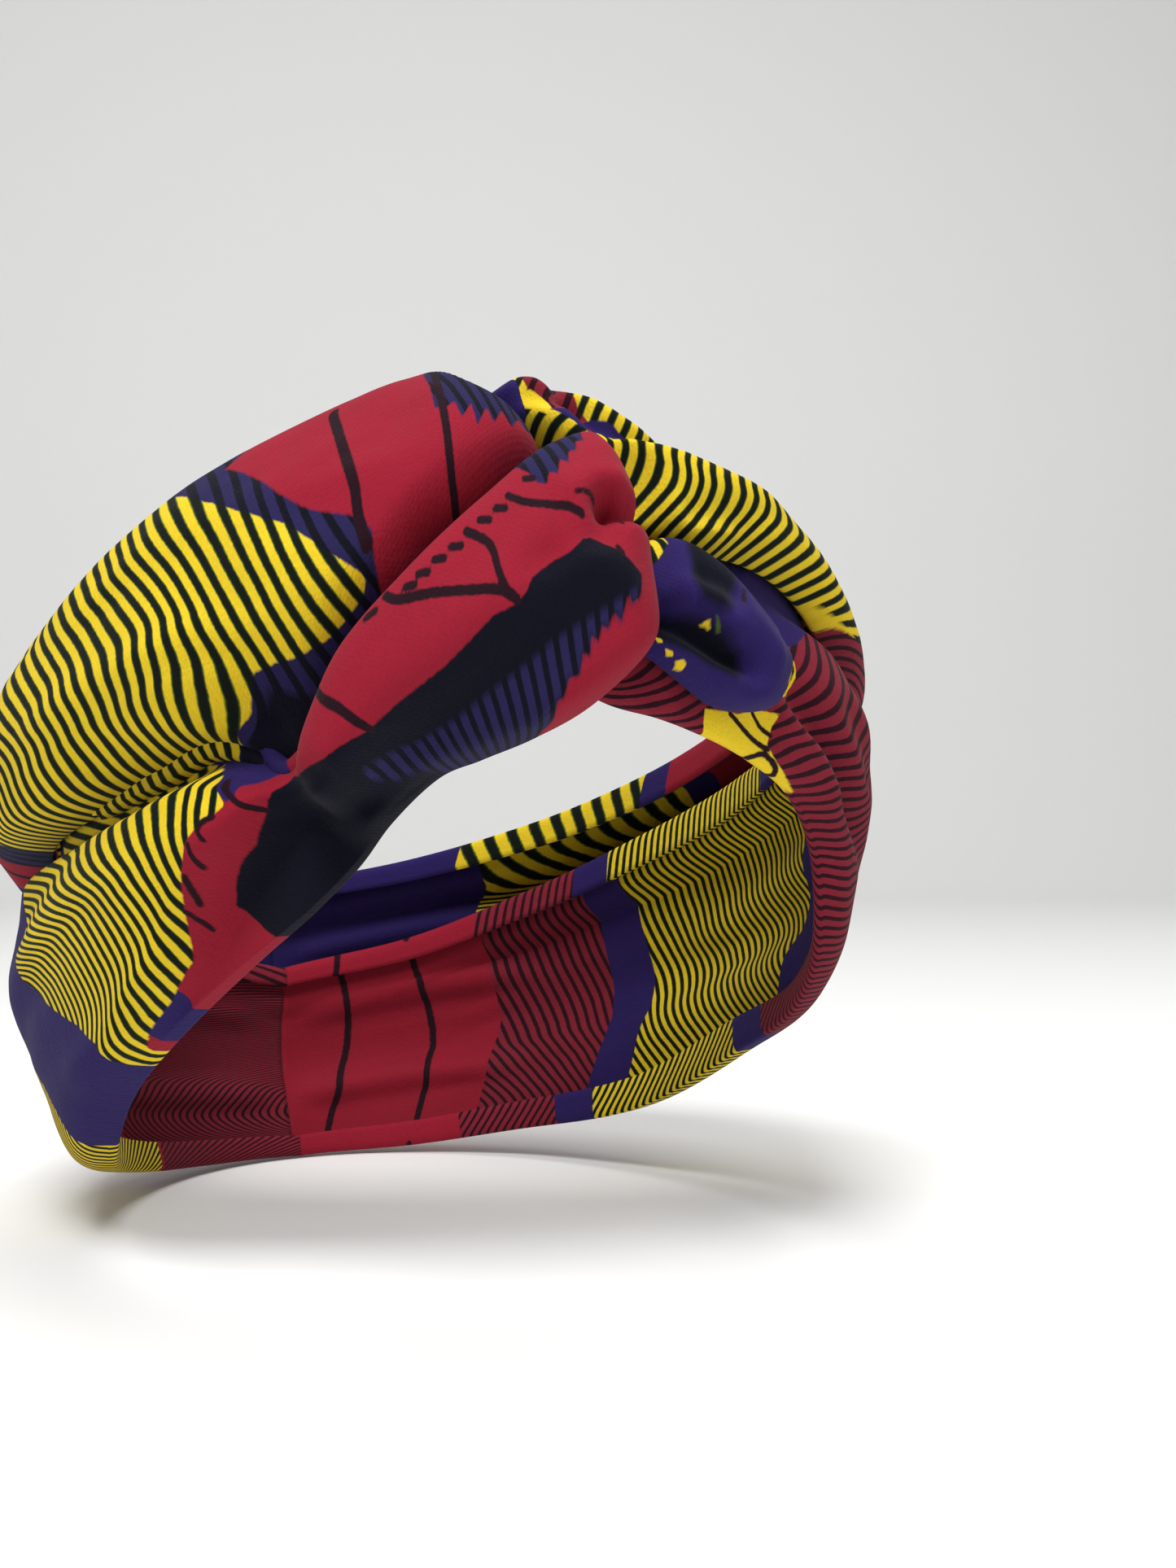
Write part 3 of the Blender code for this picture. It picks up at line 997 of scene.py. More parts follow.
def new_group(name: str, inputs: dict[str, float | None], outputs: tuple) -> tuple[Graph, dict, dict]:
    """Start a shader node group.

    Args:
        name: the group's name.
        inputs: input names with their values; None makes a vector input.
        outputs: names of its outputs, all single values.

    Returns:
        The group's graph, its input sockets by name and its output sockets by name.
    """
    tree = bpy.data.node_groups.new(name, "ShaderNodeTree")
    for label, value in inputs.items():
        kind = "NodeSocketVector" if value is None else "NodeSocketFloat"
        socket = tree.interface.new_socket(name=label, in_out="INPUT", socket_type=kind)
        if value is not None:
            socket.default_value = value
    for label in outputs:
        tree.interface.new_socket(name=label, in_out="OUTPUT", socket_type="NodeSocketFloat")
    graph = Graph(tree)
    source = graph.add("NodeGroupInput").outputs
    target = graph.add("NodeGroupOutput").inputs
    return graph, {s.name: s for s in source if s.name}, {s.name: s for s in target if s.name}


def bleed_group() -> bpy.types.NodeTree:
    """Small unevenness of the printed edges, as the dye bled along the threads.

    Returns:
        The group.
    """
    graph, inputs, outputs = new_group("Dye Bleed", {"Map": None, "Reach": 0.3}, ("Offset",))
    centred = graph.math("SUBTRACT", graph.noise(inputs["Map"], BLEED_GRAIN, 3.0), 0.5)
    graph.feed(outputs["Offset"], graph.math("MULTIPLY", centred, inputs["Reach"]))
    return graph.tree


def edge_group() -> bpy.types.NodeTree:
    """Mask that is 1 inside a printed edge and 0 outside it.

    Returns:
        The group.
    """
    values = {"Distance": 0.0, "Offset": 0.0, "Soft": 0.3}
    graph, inputs, outputs = new_group("Printed Edge", values, ("Mask",))
    moved = graph.math("ADD", inputs["Distance"], inputs["Offset"])
    scaled = graph.math("DIVIDE", moved, inputs["Soft"])
    graph.feed(outputs["Mask"], graph.math("SUBTRACT", 0.5, scaled, clamp=True))
    return graph.tree


def stripe_group() -> bpy.types.NodeTree:
    """Stripes from a running count: their dark core and the fringe of dye beside it.

    Returns:
        The group.
    """
    values = {"Run": 0.0, "Offset": 0.0, "Cover": 0.45, "Soft": 0.14, "Fringe": 0.12, "Bleed": 0.25}
    graph, inputs, outputs = new_group("Printed Stripes", values, ("Core", "Fringe"))
    moved = graph.math("MULTIPLY_ADD", inputs["Offset"], inputs["Bleed"], inputs["Run"])
    cell = graph.math("FRACT", moved)
    centred = graph.math("ABSOLUTE", graph.math("SUBTRACT", cell, 0.5))
    spread = graph.math("MULTIPLY", centred, 2.0)
    wide = graph.math("ADD", inputs["Cover"], inputs["Fringe"])
    for name, cover in (("Core", inputs["Cover"]), ("Fringe", wide)):
        depth = graph.math("DIVIDE", graph.math("SUBTRACT", cover, spread), inputs["Soft"])
        graph.feed(outputs[name], graph.math("ADD", depth, 0.5, clamp=True))
    return graph.tree


def weave_group() -> bpy.types.NodeTree:
    """Plain weave: uneven threads both ways, as a height and a tone round 1.

    Returns:
        The group.
    """
    values = {"Map": None, "Thread": 0.00042, "Tone Depth": 0.12, "Grain": 0.9, "Crossing": 0.25}
    graph, inputs, outputs = new_group("Plain Weave", values, ("Height", "Tone"))
    grain = graph.math("DIVIDE", inputs["Grain"], inputs["Thread"])
    threads = []
    for stretch in ((0.22, 1.0, 1.0), (1.0, 0.22, 1.0)):
        placed = graph.add("ShaderNodeMapping")
        graph.feed(placed.inputs["Vector"], inputs["Map"])
        graph.feed(placed.inputs["Scale"], stretch)
        threads.append(graph.noise(placed.outputs["Vector"], grain, 1.0))
    split = graph.add("ShaderNodeSeparateXYZ")
    graph.feed(split.inputs[0], inputs["Map"])
    turns = graph.math("DIVIDE", math.pi, inputs["Thread"])
    waves = [graph.math("SINE", graph.math("MULTIPLY", split.outputs[i], turns)) for i in (0, 1)]
    crossed = graph.math("MULTIPLY", *waves)
    slubs = graph.math("ADD", *threads)
    graph.feed(outputs["Height"], graph.math("MULTIPLY_ADD", crossed, inputs["Crossing"], slubs))
    centred = graph.math("SUBTRACT", slubs, 1.0)
    graph.feed(outputs["Tone"], graph.math("MULTIPLY_ADD", centred, inputs["Tone Depth"], 1.0))
    return graph.tree


def dye_group() -> bpy.types.NodeTree:
    """Slow change of tone over the cloth, from dye and handling.

    Returns:
        The group.
    """
    graph, inputs, outputs = new_group("Uneven Dye", {"Map": None, "Depth": 0.14}, ("Tone",))
    centred = graph.math("SUBTRACT", graph.noise(inputs["Map"], DYE_GRAIN, 5.0), 0.5)
    graph.feed(outputs["Tone"], graph.math("MULTIPLY_ADD", centred, inputs["Depth"], 1.0))
    return graph.tree


def new_material(name: str) -> tuple[bpy.types.Material, Graph, bpy.types.Node]:
    """Start a material.

    Args:
        name: the material's name.

    Returns:
        The material, its graph and its Principled BSDF.
    """
    material = bpy.data.materials.new(name)
    material.use_nodes = True
    return material, Graph(material.node_tree), material.node_tree.nodes["Principled BSDF"]


@dataclass(frozen=True)
class PrintedCotton:
    """Matt wax-printed cotton in plain weave.

    Attributes:
        bleed: how far the dye bled at a printed edge, in millimetres.
        edge_softness: width over which a drawn line fades, in millimetres.
        roughness: of the threads, before the weave's tone.
        sheen: weight of the soft sheen at grazing angles.
        sheen_roughness: how broad that sheen is.
        specular: level of the plain reflection.
        weave_depth: depth of the weave, in metres.
        inside_darkening: how the tone changes on the cloth's inner face, which is drawn a little darker.
        groups: the shared node groups by name.
    """

    bleed: float = 0.3
    edge_softness: float = 0.3
    roughness: float = 0.88
    sheen: float = 0.03
    sheen_roughness: float = 0.5
    specular: float = 0.10
    weave_depth: float = 0.00009
    inside_darkening: float = -0.12
    groups: dict[str, bpy.types.NodeTree] = field(default_factory=dict)

    def prepare(self) -> None:
        """Build the shared node groups once."""
        makers = {"bleed": bleed_group, "edge": edge_group, "stripes": stripe_group}
        makers |= {"weave": weave_group, "dye": dye_group}
        self.groups.update({name: make() for name, make in makers.items()})

    def striped(self, graph: Graph, tint: Tint, stripes: Stripes, run: object, offset: object) -> object:
        """Colour of a patch with its stripes.

        Args:
            graph: the material's graph.
            tint: the patch's own colour.
            stripes: which stripes it carries.
            run: socket of the running count of stripes.
            offset: socket of the dye's unevenness.

        Returns:
            A colour socket, or a plain colour where there are no stripes.
        """
        ground = (*tint.value, 1.0)
        cover, ink = stripes.value
        if stripes is Stripes.NONE:
            return ground
        lines = graph.group(self.groups["stripes"], run=run, offset=offset, cover=cover)
        if stripes is Stripes.BLACK:
            ground = graph.mix(lines.outputs["Fringe"], ground, (*Tint.FRINGE.value, 1.0))
        return graph.mix(lines.outputs["Core"], ground, (*ink.value, 1.0))

    def material(self, name: str, chart: Chart) -> bpy.types.Material:
        """Material that prints a chart on its fold.

        Args:
            name: the fold's name.
            chart: the print.

        Returns:
            The material.
        """
        material, graph, shader = new_material(name + "_print")
        cloth_map = graph.add("ShaderNodeUVMap", uv_map="cloth").outputs[0]
        offset = graph.group(self.groups["bleed"], map=cloth_map, reach=self.bleed).outputs["Offset"]
        run = graph.attribute("stripe")
        colour = self.striped(graph, chart.ground, chart.ground_stripes, run, offset)
        edge = self.groups["edge"]
        for number, patch in enumerate(chart.patches):
            distance = graph.attribute("patch_%d" % number)
            cover = graph.group(edge, distance=distance, offset=offset, soft=patch.soft)
            inner = self.striped(graph, patch.tint, patch.stripes, run, offset)
            colour = graph.mix(cover.outputs["Mask"], colour, inner)
        distance = graph.attribute("stroke")
        drawn = graph.group(edge, distance=distance, offset=offset, soft=self.edge_softness)
        colour = graph.mix(drawn.outputs["Mask"], colour, (*Tint.LINE.value, 1.0))
        weave = graph.group(self.groups["weave"], map=cloth_map)
        dye = graph.group(self.groups["dye"], map=cloth_map)
        tone = graph.math("MULTIPLY", weave.outputs["Tone"], dye.outputs["Tone"])
        # The cloth's inner face is drawn a little darker than its outer face
        back = graph.math("MULTIPLY_ADD", graph.attribute("inside"), self.inside_darkening, 1.0)
        tone = graph.math("MULTIPLY", tone, back)
        shade = graph.add("ShaderNodeCombineColor")
        for socket in shade.inputs[:3]:
            graph.feed(socket, tone)
        colour = graph.mix(1.0, colour, shade.outputs[0], "MULTIPLY")
        bump = graph.add("ShaderNodeBump")
        graph.feed(bump.inputs["Strength"], 1.0)
        graph.feed(bump.inputs["Distance"], self.weave_depth)
        graph.feed(bump.inputs["Height"], weave.outputs["Height"])
        graph.feed(shader.inputs["Base Color"], colour)
        graph.feed(shader.inputs["Roughness"], graph.math("MULTIPLY", tone, self.roughness, clamp=True))
        graph.feed(shader.inputs["Specular IOR Level"], self.specular)
        graph.feed(shader.inputs["Sheen Weight"], self.sheen)
        graph.feed(shader.inputs["Sheen Roughness"], self.sheen_roughness)
        graph.feed(shader.inputs["Normal"], bump.outputs["Normal"])
        return material


@dataclass(frozen=True)
class PlainThread:
    """A single colour of spun thread with a slight unevenness.

    Attributes:
        name: the finish's name.
        tint: the thread's colour where it is palest.
        roughness: of the thread.
        darkest: its darkest tone as a share of that colour.
    """

    name: str
    tint: Tint
    roughness: float = 0.8
    darkest: float = 0.6

    def material(self) -> bpy.types.Material:
        """Material of the thread.

        Returns:
            The material.
        """
        material, graph, shader = new_material(self.name)
        place = graph.add("ShaderNodeTexCoord").outputs["Object"]
        dark = tuple(self.darkest * part for part in self.tint.value)
        uneven = graph.noise(place, THREAD_GRAIN, 2.0, "3D")
        colour = graph.mix(uneven, (*dark, 1.0), (*self.tint.value, 1.0))
        graph.feed(shader.inputs["Base Color"], colour)
        graph.feed(shader.inputs["Roughness"], self.roughness)
        return material


@dataclass(frozen=True)
class PaleFloor:
    """Matt pale studio floor."""

    colour: tuple[float, float, float] = (0.86, 0.86, 0.85)
    roughness: float = 0.9

    def material(self) -> bpy.types.Material:
        """Material of the floor.

        Returns:
            The material.
        """
        material, graph, shader = new_material("pale_floor")
        graph.feed(shader.inputs["Base Color"], (*self.colour, 1.0))
        graph.feed(shader.inputs["Roughness"], self.roughness)
        return material


# Lines over the hollow, as turn and lift: rims that neighbours run under
TWIST_RIM = (
    (-6, 36), (-12.5, 29.5), (-22, 23.5), (-27, 19.5), (-32.5, 13), (-38, 6), (-41, 0), (-44, -8),
)
TWIST_END = ((-16, 31), (-7, 33), (-2, 29), (1, 22), (2, 14))
FOLD_LINE = ((-46, -9.5), (-50, -14), (-55, -21), (-61, -30.5), (-67.5, -38), (-76, -49))
RIGHT_OVERLAP = (
    (-49, -2.5), (-55, -1.5), (-66, -6.5), (-82, -12), (-107, -19.5), (-130, -32), (-155, -42),
    (-180, -47),
)
LEFT_OVERLAP = (
    (5, 23.5), (14, 22), (24, 20), (35, 15.5), (48, 8.5), (64, -1), (84, -10), (107, -21), (130, -32),
    (155, -42), (180, -47),
)
CRUMPLE_EDGE = ((-28, 46), (-21, 41), (-15, 38.5), (-8, 33), (-2, 26))

# Sections of each fold, from inside the knot outwards
RIGHT_UPPER = table(
    Station,
    (4, 30, 2, 20.5, REST, 5.6, 5.6, 5.6, REST, 3),
    (-3, 31, -5, 16.5, REST, 5.6, 5.6, 5.6, REST, 3),
    (-10, 34, -12.5, 14, REST, 6.5, 5.8, 5.6, REST, 3),
    (-16, 40, -20, 6.5, REST, 20, 12, 6, REST, 4),
    (-24, 45, -29, 0.5, REST, 26.5, 24.5, 8, REST, 4),
    (-32, 44, -36, -7, REST, 26.5, 26.5, 12, REST, 4),
    (-38.5, 41.5, -43, -11, REST, 26.5, 27.5, 13, REST, 4),
    (-45, 38.5, -48.5, -6.5, REST, 26.5, 27.5, 17.5, 3.4, 4),
    (-52, 35, -55, -3, REST, 26.5, 27.5, 24.5, 7, 6),
    (-64, 28, -66, -6.5, REST, 24.5, 26.5, 24.5, 7, 8),
    (-80, 17, -82, -12, REST, 23.5, 26.5, 24.5, 7, 8),
    (-106, 0, -107, -19.5, REST, 21.5, 24.5, 22.5, 7, 8),
    (-130, -13, -130, -32, REST, 16, 18, 17, 7, 7),
    (-155, -22, -155, -42, REST, 12.5, 14, 13.5, 7, 6),
    (-SEAM_TURN, -27, -SEAM_TURN, -47, REST, 11.5, 12.5, 12.5, 7, 5),
)

RIGHT_LOWER = table(
    Station,
    (-15, 27, -12, 10, 13.8, 16.2, 16.2, 15.8, 13, 2),
    (-9, 28.2, -6, 10, 13.8, 16.4, 16.6, 16.2, 13, 2),
    (-7.2, 29.8, -4.7, 9.5, 14.2, 20.3, 21.5, 19.6, 13, 4),
    (-9.7, 31.2, -6.2, 7, 15.5, 28.2, 29.5, 26.8, 12, 6),
    (-15, 29.3, -10.5, 3, 17, 30.3, 32.4, 27.5, 8, 6),
    (-23, 23, -17, -1, 18, 29.5, 31.5, 24.5, 1.5, 6),
    (-31, 15, -24, -4, 18, 29.5, 29.5, 21.5, REST, 6),
    (-37, 8, -29.5, -6.5, 17, 28.5, 27.5, 18.5, REST, 4),
    (-41, 1.5, -35.5, -12.5, 12.5, 24.5, 23.5, 14.5, REST, 3),
    (-44.8, -3.6, -40, -18.5, 9, 19, 19, 12.5, REST, 4),
    (-48, -4.8, -45, -23.5, 7, 18, 19, 14, REST, 4),
    (-55, 3.5, -53, -30, 2.5, 18.5, 21.5, 16.5, REST, 5),
    (-66, 0.5, -64, -38.5, REST, 18.5, 22.5, 17.5, REST, 7),
    (-82, -6.5, -80, -50.5, REST, 17, 20.5, 16.5, 2, 8),
    (-107, -15.5, -104, -67, REST, 16, 19.5, 15.5, 2, 8),
    (-130, -28, -130, -74, REST, 14, 17.5, 14, REST, 7),
    (-155, -38, -155, -77, REST, 10.5, 13, 11, REST, 6),
    (-SEAM_TURN, -43, -SEAM_TURN, -78, REST, 8.5, 10.5, 9, REST, 5),
)

LEFT_UPPER = table(
    Station,
    (-23.5, 43.5, -21.5, 41, 7, 9.8, 10, 9.8, 7, 1),
    (-19.5, 44.3, -17.5, 39.8, 6.4, 14, 15, 14, 7, 2),
    (-15, 44.7, -14, 37.5, 5, 18.2, 19.2, 17.5, 7, 3),
    (-7, 43, -8, 32.5, 2, 18.5, 20.3, 17.8, 7, 4),
    (0, 39.2, -3, 26, REST, 18.7, 20.7, 17, 7, 5),
    (7, 36, 5, 22.5, REST, 17.6, 20.5, 17.8, 7, 5),
    (15, 32.5, 14, 22, REST, 16.6, 20.5, 18.6, 7, 6),
    (24, 29, 24, 20, REST, 14.7, 18.6, 18.7, 7, 6),
    (35, 25, 35, 15.5, REST, 12.3, 16.3, 16.9, 7, 6),
    (47, 19.5, 48, 8.5, REST, 13.5, 16, 16.6, 7, 7),
    (62, 13, 64, -1, REST, 16.5, 19.5, 18.5, 7, 7),
    (82, 5, 84, -10, REST, 18.7, 21.4, 20.4, 7, 8),
    (106, -5.5, 107, -21, REST, 19.5, 22.5, 21.5, 7, 8),
    (130, -15, 130, -32, REST, 16, 18, 17, 7, 7),
    (155, -22.5, 155, -42, REST, 12.5, 14, 13.5, 7, 6),
    (SEAM_TURN, -27, SEAM_TURN, -47, REST, 11.5, 12.5, 12.5, 7, 5),
)

LEFT_LOWER = table(
    Station,
    (-14, 11, -13.5, 6, REST, 5.6, 5.6, 5.6, REST, 2),
    (-7, 11, -7, 3, REST, 5.6, 5.6, 5.6, REST, 2),
    (-1, 14.5, 0, 1.5, REST, 5.6, 5.8, 5.6, REST, 3),
    (7, 24.5, 9, -1, REST, 5.8, 6, 5.8, REST, 4),
    (17, 24.5, 18, -4, REST, 5.8, 6.4, 6.2, REST, 4),
    (27, 22.5, 27, -8.5, REST, 9.5, 12, 11, 3, 5),
    (37, 18.5, 36, -17, REST, 12, 16.5, 14, 5, 5),
    (48, 12, 45, -31, REST, 12.5, 16.8, 14.5, 6, 5),
    (62, 2.5, 58, -42, REST, 12.6, 16, 13.6, 5, 6),
    (82, -6, 79, -53, REST, 13.7, 17.4, 14, 3, 8),
    (107, -17, 105, -67, REST, 15, 19.5, 15.5, 1.5, 8),
    (130, -28, 130, -73, REST, 14, 17.5, 14, REST, 7),
    (155, -38, 155, -77, REST, 10.5, 13, 11, REST, 6),
    (SEAM_TURN, -43, SEAM_TURN, -78, REST, 8.5, 10.5, 9, REST, 5),
)

KNOT_LOOP = table(
    Station,
    (-10, 19, -9.5, 11.5, 6.4, 11.4, 11.4, 11.4, 6.4, 2),
    (-5, 21.5, -4, 9, 6.4, 11.6, 12, 11.6, 6.4, 3),
    (1, 22.9, 0.5, 6.2, 6.4, 16.5, 18, 16.5, 6.4, 4),
    (6.3, 20.2, 5.5, 3.2, 6.4, 18.6, 21.1, 19, 6.4, 5),
    (11.6, 15.4, 9.8, 2.2, 6.8, 17.7, 20.5, 18.9, 7.4, 4),
    (16.1, 12.1, 13.8, 2.8, 8.2, 14.1, 15.8, 15, 8, 3),
    (13.3, 12.4, 11.8, 4.5, 8.7, 11.3, 11.5, 11.3, 8.6, 1),
)

# Where each fold runs under a neighbour or slopes down, and its creases
RIGHT_UPPER_TUCKS = (Tuck(TWIST_RIM, 1, 6.0, 14.0, 7.0), Tuck(CRUMPLE_EDGE, 1, 5.7, 6.0, -1.0))
RIGHT_LOWER_TUCKS = (Tuck(FOLD_LINE, 1, 5.8, 8.0, 4.0), Tuck(RIGHT_OVERLAP, -1, 5.7, 6.0, -2.0))
LEFT_UPPER_TUCKS = (Tuck(TWIST_END, -1, 10.0, 8.0, 4.0),)
LEFT_LOWER_TUCKS = (Tuck(LEFT_OVERLAP, 1, 5.7, 6.0, -2.0),)
RIGHT_UPPER_DROPS = (
    Drop(side=1, depth=8.0, run=9.0, line=(
        (-36, 11), (-48.3, 7.1), (-53.6, 5.2), (-60.4, 2.9), (-67, 0.7), (-74, -3), (-90, -10),
    )),
)

RIGHT_UPPER_CREASES = (
    Crease(((-44, 20), (-62, 13), (-84, 4)), 1.6, 5.0),
    Crease(((-40, 11), (-52, 9), (-66, 4), (-80, -2)), -1.6, 3.0),
    Crease(((-26, 33), (-40, 31), (-60, 22)), 1.6, 6.0),
    Crease(((-24, 18), (-34, 20), (-46, 19)), 1.8, 5.0),
    Crease(((-84, 6), (-120, -12)), 2.5, 5.0),
    Crease(((-128, -20), (-181, -33)), 3.0, 3.0),
    Crease(((-135, -29), (-181, -41)), 2.5, 3.0),
)
RIGHT_LOWER_CREASES = (
    Crease(((0, 20.2), (-5, 20.1), (-8.5, 19.9), (-10.5, 19.9), (-13.5, 18.6)), 7.0, 1.9),
    Crease(((-9, 21), (-10.9, 19.3), (-12.2, 16.6), (-14, 15.6), (-16.7, 14.4), (-22, 11.6)), 2.6, 2.6),
    Crease(((-8, 21.6), (-12, 22.2), (-17, 20)), -1.6, 3.0),
    Crease(((-17, 16.4), (-14.1, 14.6), (-12.3, 13.7), (-10.2, 12.6), (-7, 8)), -2.0, 3.0),
    Crease(((-14, 9), (-24, 4), (-34, -3)), 1.6, 4.0),
    Crease(((-25, -5), (-30.5, -6.8), (-34, -8.6), (-38, -10), (-43, -11), (-54, -13)), 2.4, 2.6),
    Crease(((-37, -4.5), (-42, -6.5), (-48, -8)), 1.8, 2.4),
    Crease(((-58, -4), (-84, -20), (-104, -34)), 1.8, 5.0),
    Crease(((-62, -18), (-80, -30), (-118, -54)), 1.8, 5.0),
    Crease(((-58, -27), (-72, -41), (-90, -52)), -1.5, 4.0),
    Crease(((-128, -42), (-181, -52)), 3.0, 3.5),
    Crease(((-132, -60), (-181, -67)), 3.0, 3.5),
)
LEFT_UPPER_CREASES = (
    Crease(depth=5.5, width=2.2, line=(
        (-15, 47), (-8.6, 39.2), (-6.6, 36.6), (-3.9, 34.7), (-0.2, 33.7), (5, 33.2), (14, 31),
    )),
    Crease(((-17, 42), (-12, 39.5), (-6, 38.5)), 3.0, 2.0),
    Crease(((2, 25), (9, 24.5), (18, 22)), 2.5, 2.2),
    Crease(((16, 27.5), (32, 21.5), (52, 13)), 1.2, 4.0),
    Crease(((66, 5), (112, -14)), 2.5, 4.5),
    Crease(((128, -22), (181, -34)), 3.0, 3.0),
    Crease(((136, -31), (181, -41)), 2.5, 3.0),
)
LEFT_LOWER_CREASES = (
    Crease(depth=4.5, width=3.0, line=(
        (19, 9), (22.5, 5.7), (28, 0.7), (32.5, -3.9), (36, -7.4), (40, -11.1), (45, -14.8), (54, -22),
    )),
    Crease(((30, 6), (38, -2), (46, -9)), 1.8, 3.0),
    Crease(((14, 2.5), (22, 1), (30, -5), (36, -12)), -1.5, 3.0),
    Crease(((60, -14), (108, -38)), 2.6, 5.0),
    Crease(((68, -32), (116, -56)), 2.5, 5.0),
    Crease(((128, -42), (181, -52)), 3.0, 3.5),
    Crease(((132, -60), (181, -67)), 3.0, 3.5),
)
KNOT_LOOP_CREASES = (
    Crease(depth=6.5, width=2.3, line=(
        (-8, 15.5), (-3, 13.3), (-1, 12.3), (0.8, 11.0), (2.7, 9.6), (4.8, 8.1), (8, 6.2), (11, 5.2),
    )),
    Crease(((-4, 15.4), (-1, 14.1), (0.8, 12.8), (2.7, 11.4), (4.8, 10.1), (7, 8.8)), -2.0, 1.5),
    Crease(((0.5, 17), (4.5, 15), (6.5, 12)), 1.6, 2.2),
    Crease(((-2, 16.5), (1, 14.6), (4, 11.5)), -1.2, 1.8),
    Crease(((3, 5.5), (8, 6), (12, 8.5)), -1.0, 2.0),
)

# The print on each fold, with a few patches of painted shade
RIGHT_UPPER_CHART = Chart(
    ground=Tint.RED,
    patches=(
        Patch(Tint.VIOLET, Stripes.BARS, soft=0.5, outline=(
            (99, -0.4), (101, 0.08), (102.3, 0.202), (97.5, 0.245), (92.7, 0.289), (85, 0.356),
            (78.7, 0.392), (72.3, 0.426), (66.1, 0.465), (64, 0.5), (63.5, 0.6), (66, 0.8), (70, 1.4),
            (224, 1.4), (218, 0.5), (214, -0.4),
        )),
        # Painted shade: this soft navy patch darkens the corner beside the twist, where the cloth dips
        # into shadow; it is not print
        Patch(Tint.NAVY, Stripes.NONE, soft=1.5, outline=(
            (98, 0.96), (93.5, 0.87), (91, 0.79), (88.5, 0.75), (80, 0.725), (70, 0.72), (58, 0.75),
            (58, 1.3), (106, 1.3), (101, 1.05),
        )),
        Patch(Tint.YELLOW, Stripes.BLACK, outline=(
            (132, -0.4), (122, 0.08), (115.8, 0.185), (108.5, 0.265), (101.9, 0.331), (92.5, 0.391),
            (86.6, 0.415), (81.3, 0.424), (75.5, 0.468), (71.2, 0.512), (66.5, 0.557), (65.7, 0.572),
            (66.6, 0.59), (69.5, 0.607), (73.1, 0.625), (77.9, 0.639), (84.4, 0.673), (90.5, 0.727),
            (92.5, 0.777), (94.7, 0.847), (98.5, 0.912), (101, 1.05), (104, 1.4), (202, 1.4),
            (206, 0.92), (196, 0.4), (190, -0.4),
        )),
        Patch(Tint.VIOLET, Stripes.BARS, soft=0.4, outline=(
            (60, -0.4), (58, 0.12), (55, 0.21), (53, 0.29), (50.5, 0.3), (48.5, 0.28), (46.5, 0.33),
            (44.5, 0.28), (42.5, 0.34), (40.5, 0.27), (38.5, 0.31), (36.5, 0.25), (34, 0.28),
            (32, 0.21), (30, 0.22), (26, 0.14), (22, -0.4),
        )),
        Patch(Tint.PURPLE, Stripes.NONE, outline=(
            (254, -0.4), (240, 0.3), (236, 0.6), (246, 1.4), (380, 1.4), (380, -0.4),
        )),
        Patch(Tint.YELLOW, Stripes.BLACK, outline=(
            (268, -0.4), (252, 0.3), (248, 0.6), (258, 1.4), (330, 1.4), (342, 0.7), (330, 0.2),
            (322, -0.4),
        )),
    ),
    strokes=(
        Stroke(1.0, ((81, 0.12), (80, 0.15), (74, 0.27), (69, 0.38), (67, 0.46), (65, 0.52))),
        Stroke(0.85, ((55, 0.14), (54, 0.18), (51, 0.3), (49, 0.4), (47.5, 0.5), (46, 0.6))),
        Stroke(1.0, ((236, 0.1), (231, 0.4), (228, 0.7), (232, 1.1))),
    ),
    marks=table(
        Mark, (0, 36), (40, 26.3), (61.6, 20.5), (69, 18.5), (77.6, 16.5), (87.3, 14.5), (95.5, 12.5),
        (102.7, 10.5), (110, 8.5), (118.6, 6.5), (127.5, 4.5), (135.6, 2.5), (144.3, 0.5), (165, -4),
        (355, -44),
    ),
    leans=table(
        Lean, (-0.4, 62), (0.0, 39.6), (0.1, 33.9), (0.2, 28.1), (0.3, 22.6), (0.4, 17.2), (0.48, 12.4),
        (0.56, 7.5), (0.64, 3), (0.72, 0.3), (0.8, 0.4), (0.88, 2.4), (0.94, 4.6), (1.0, 7), (1.4, 15),
    ),
)

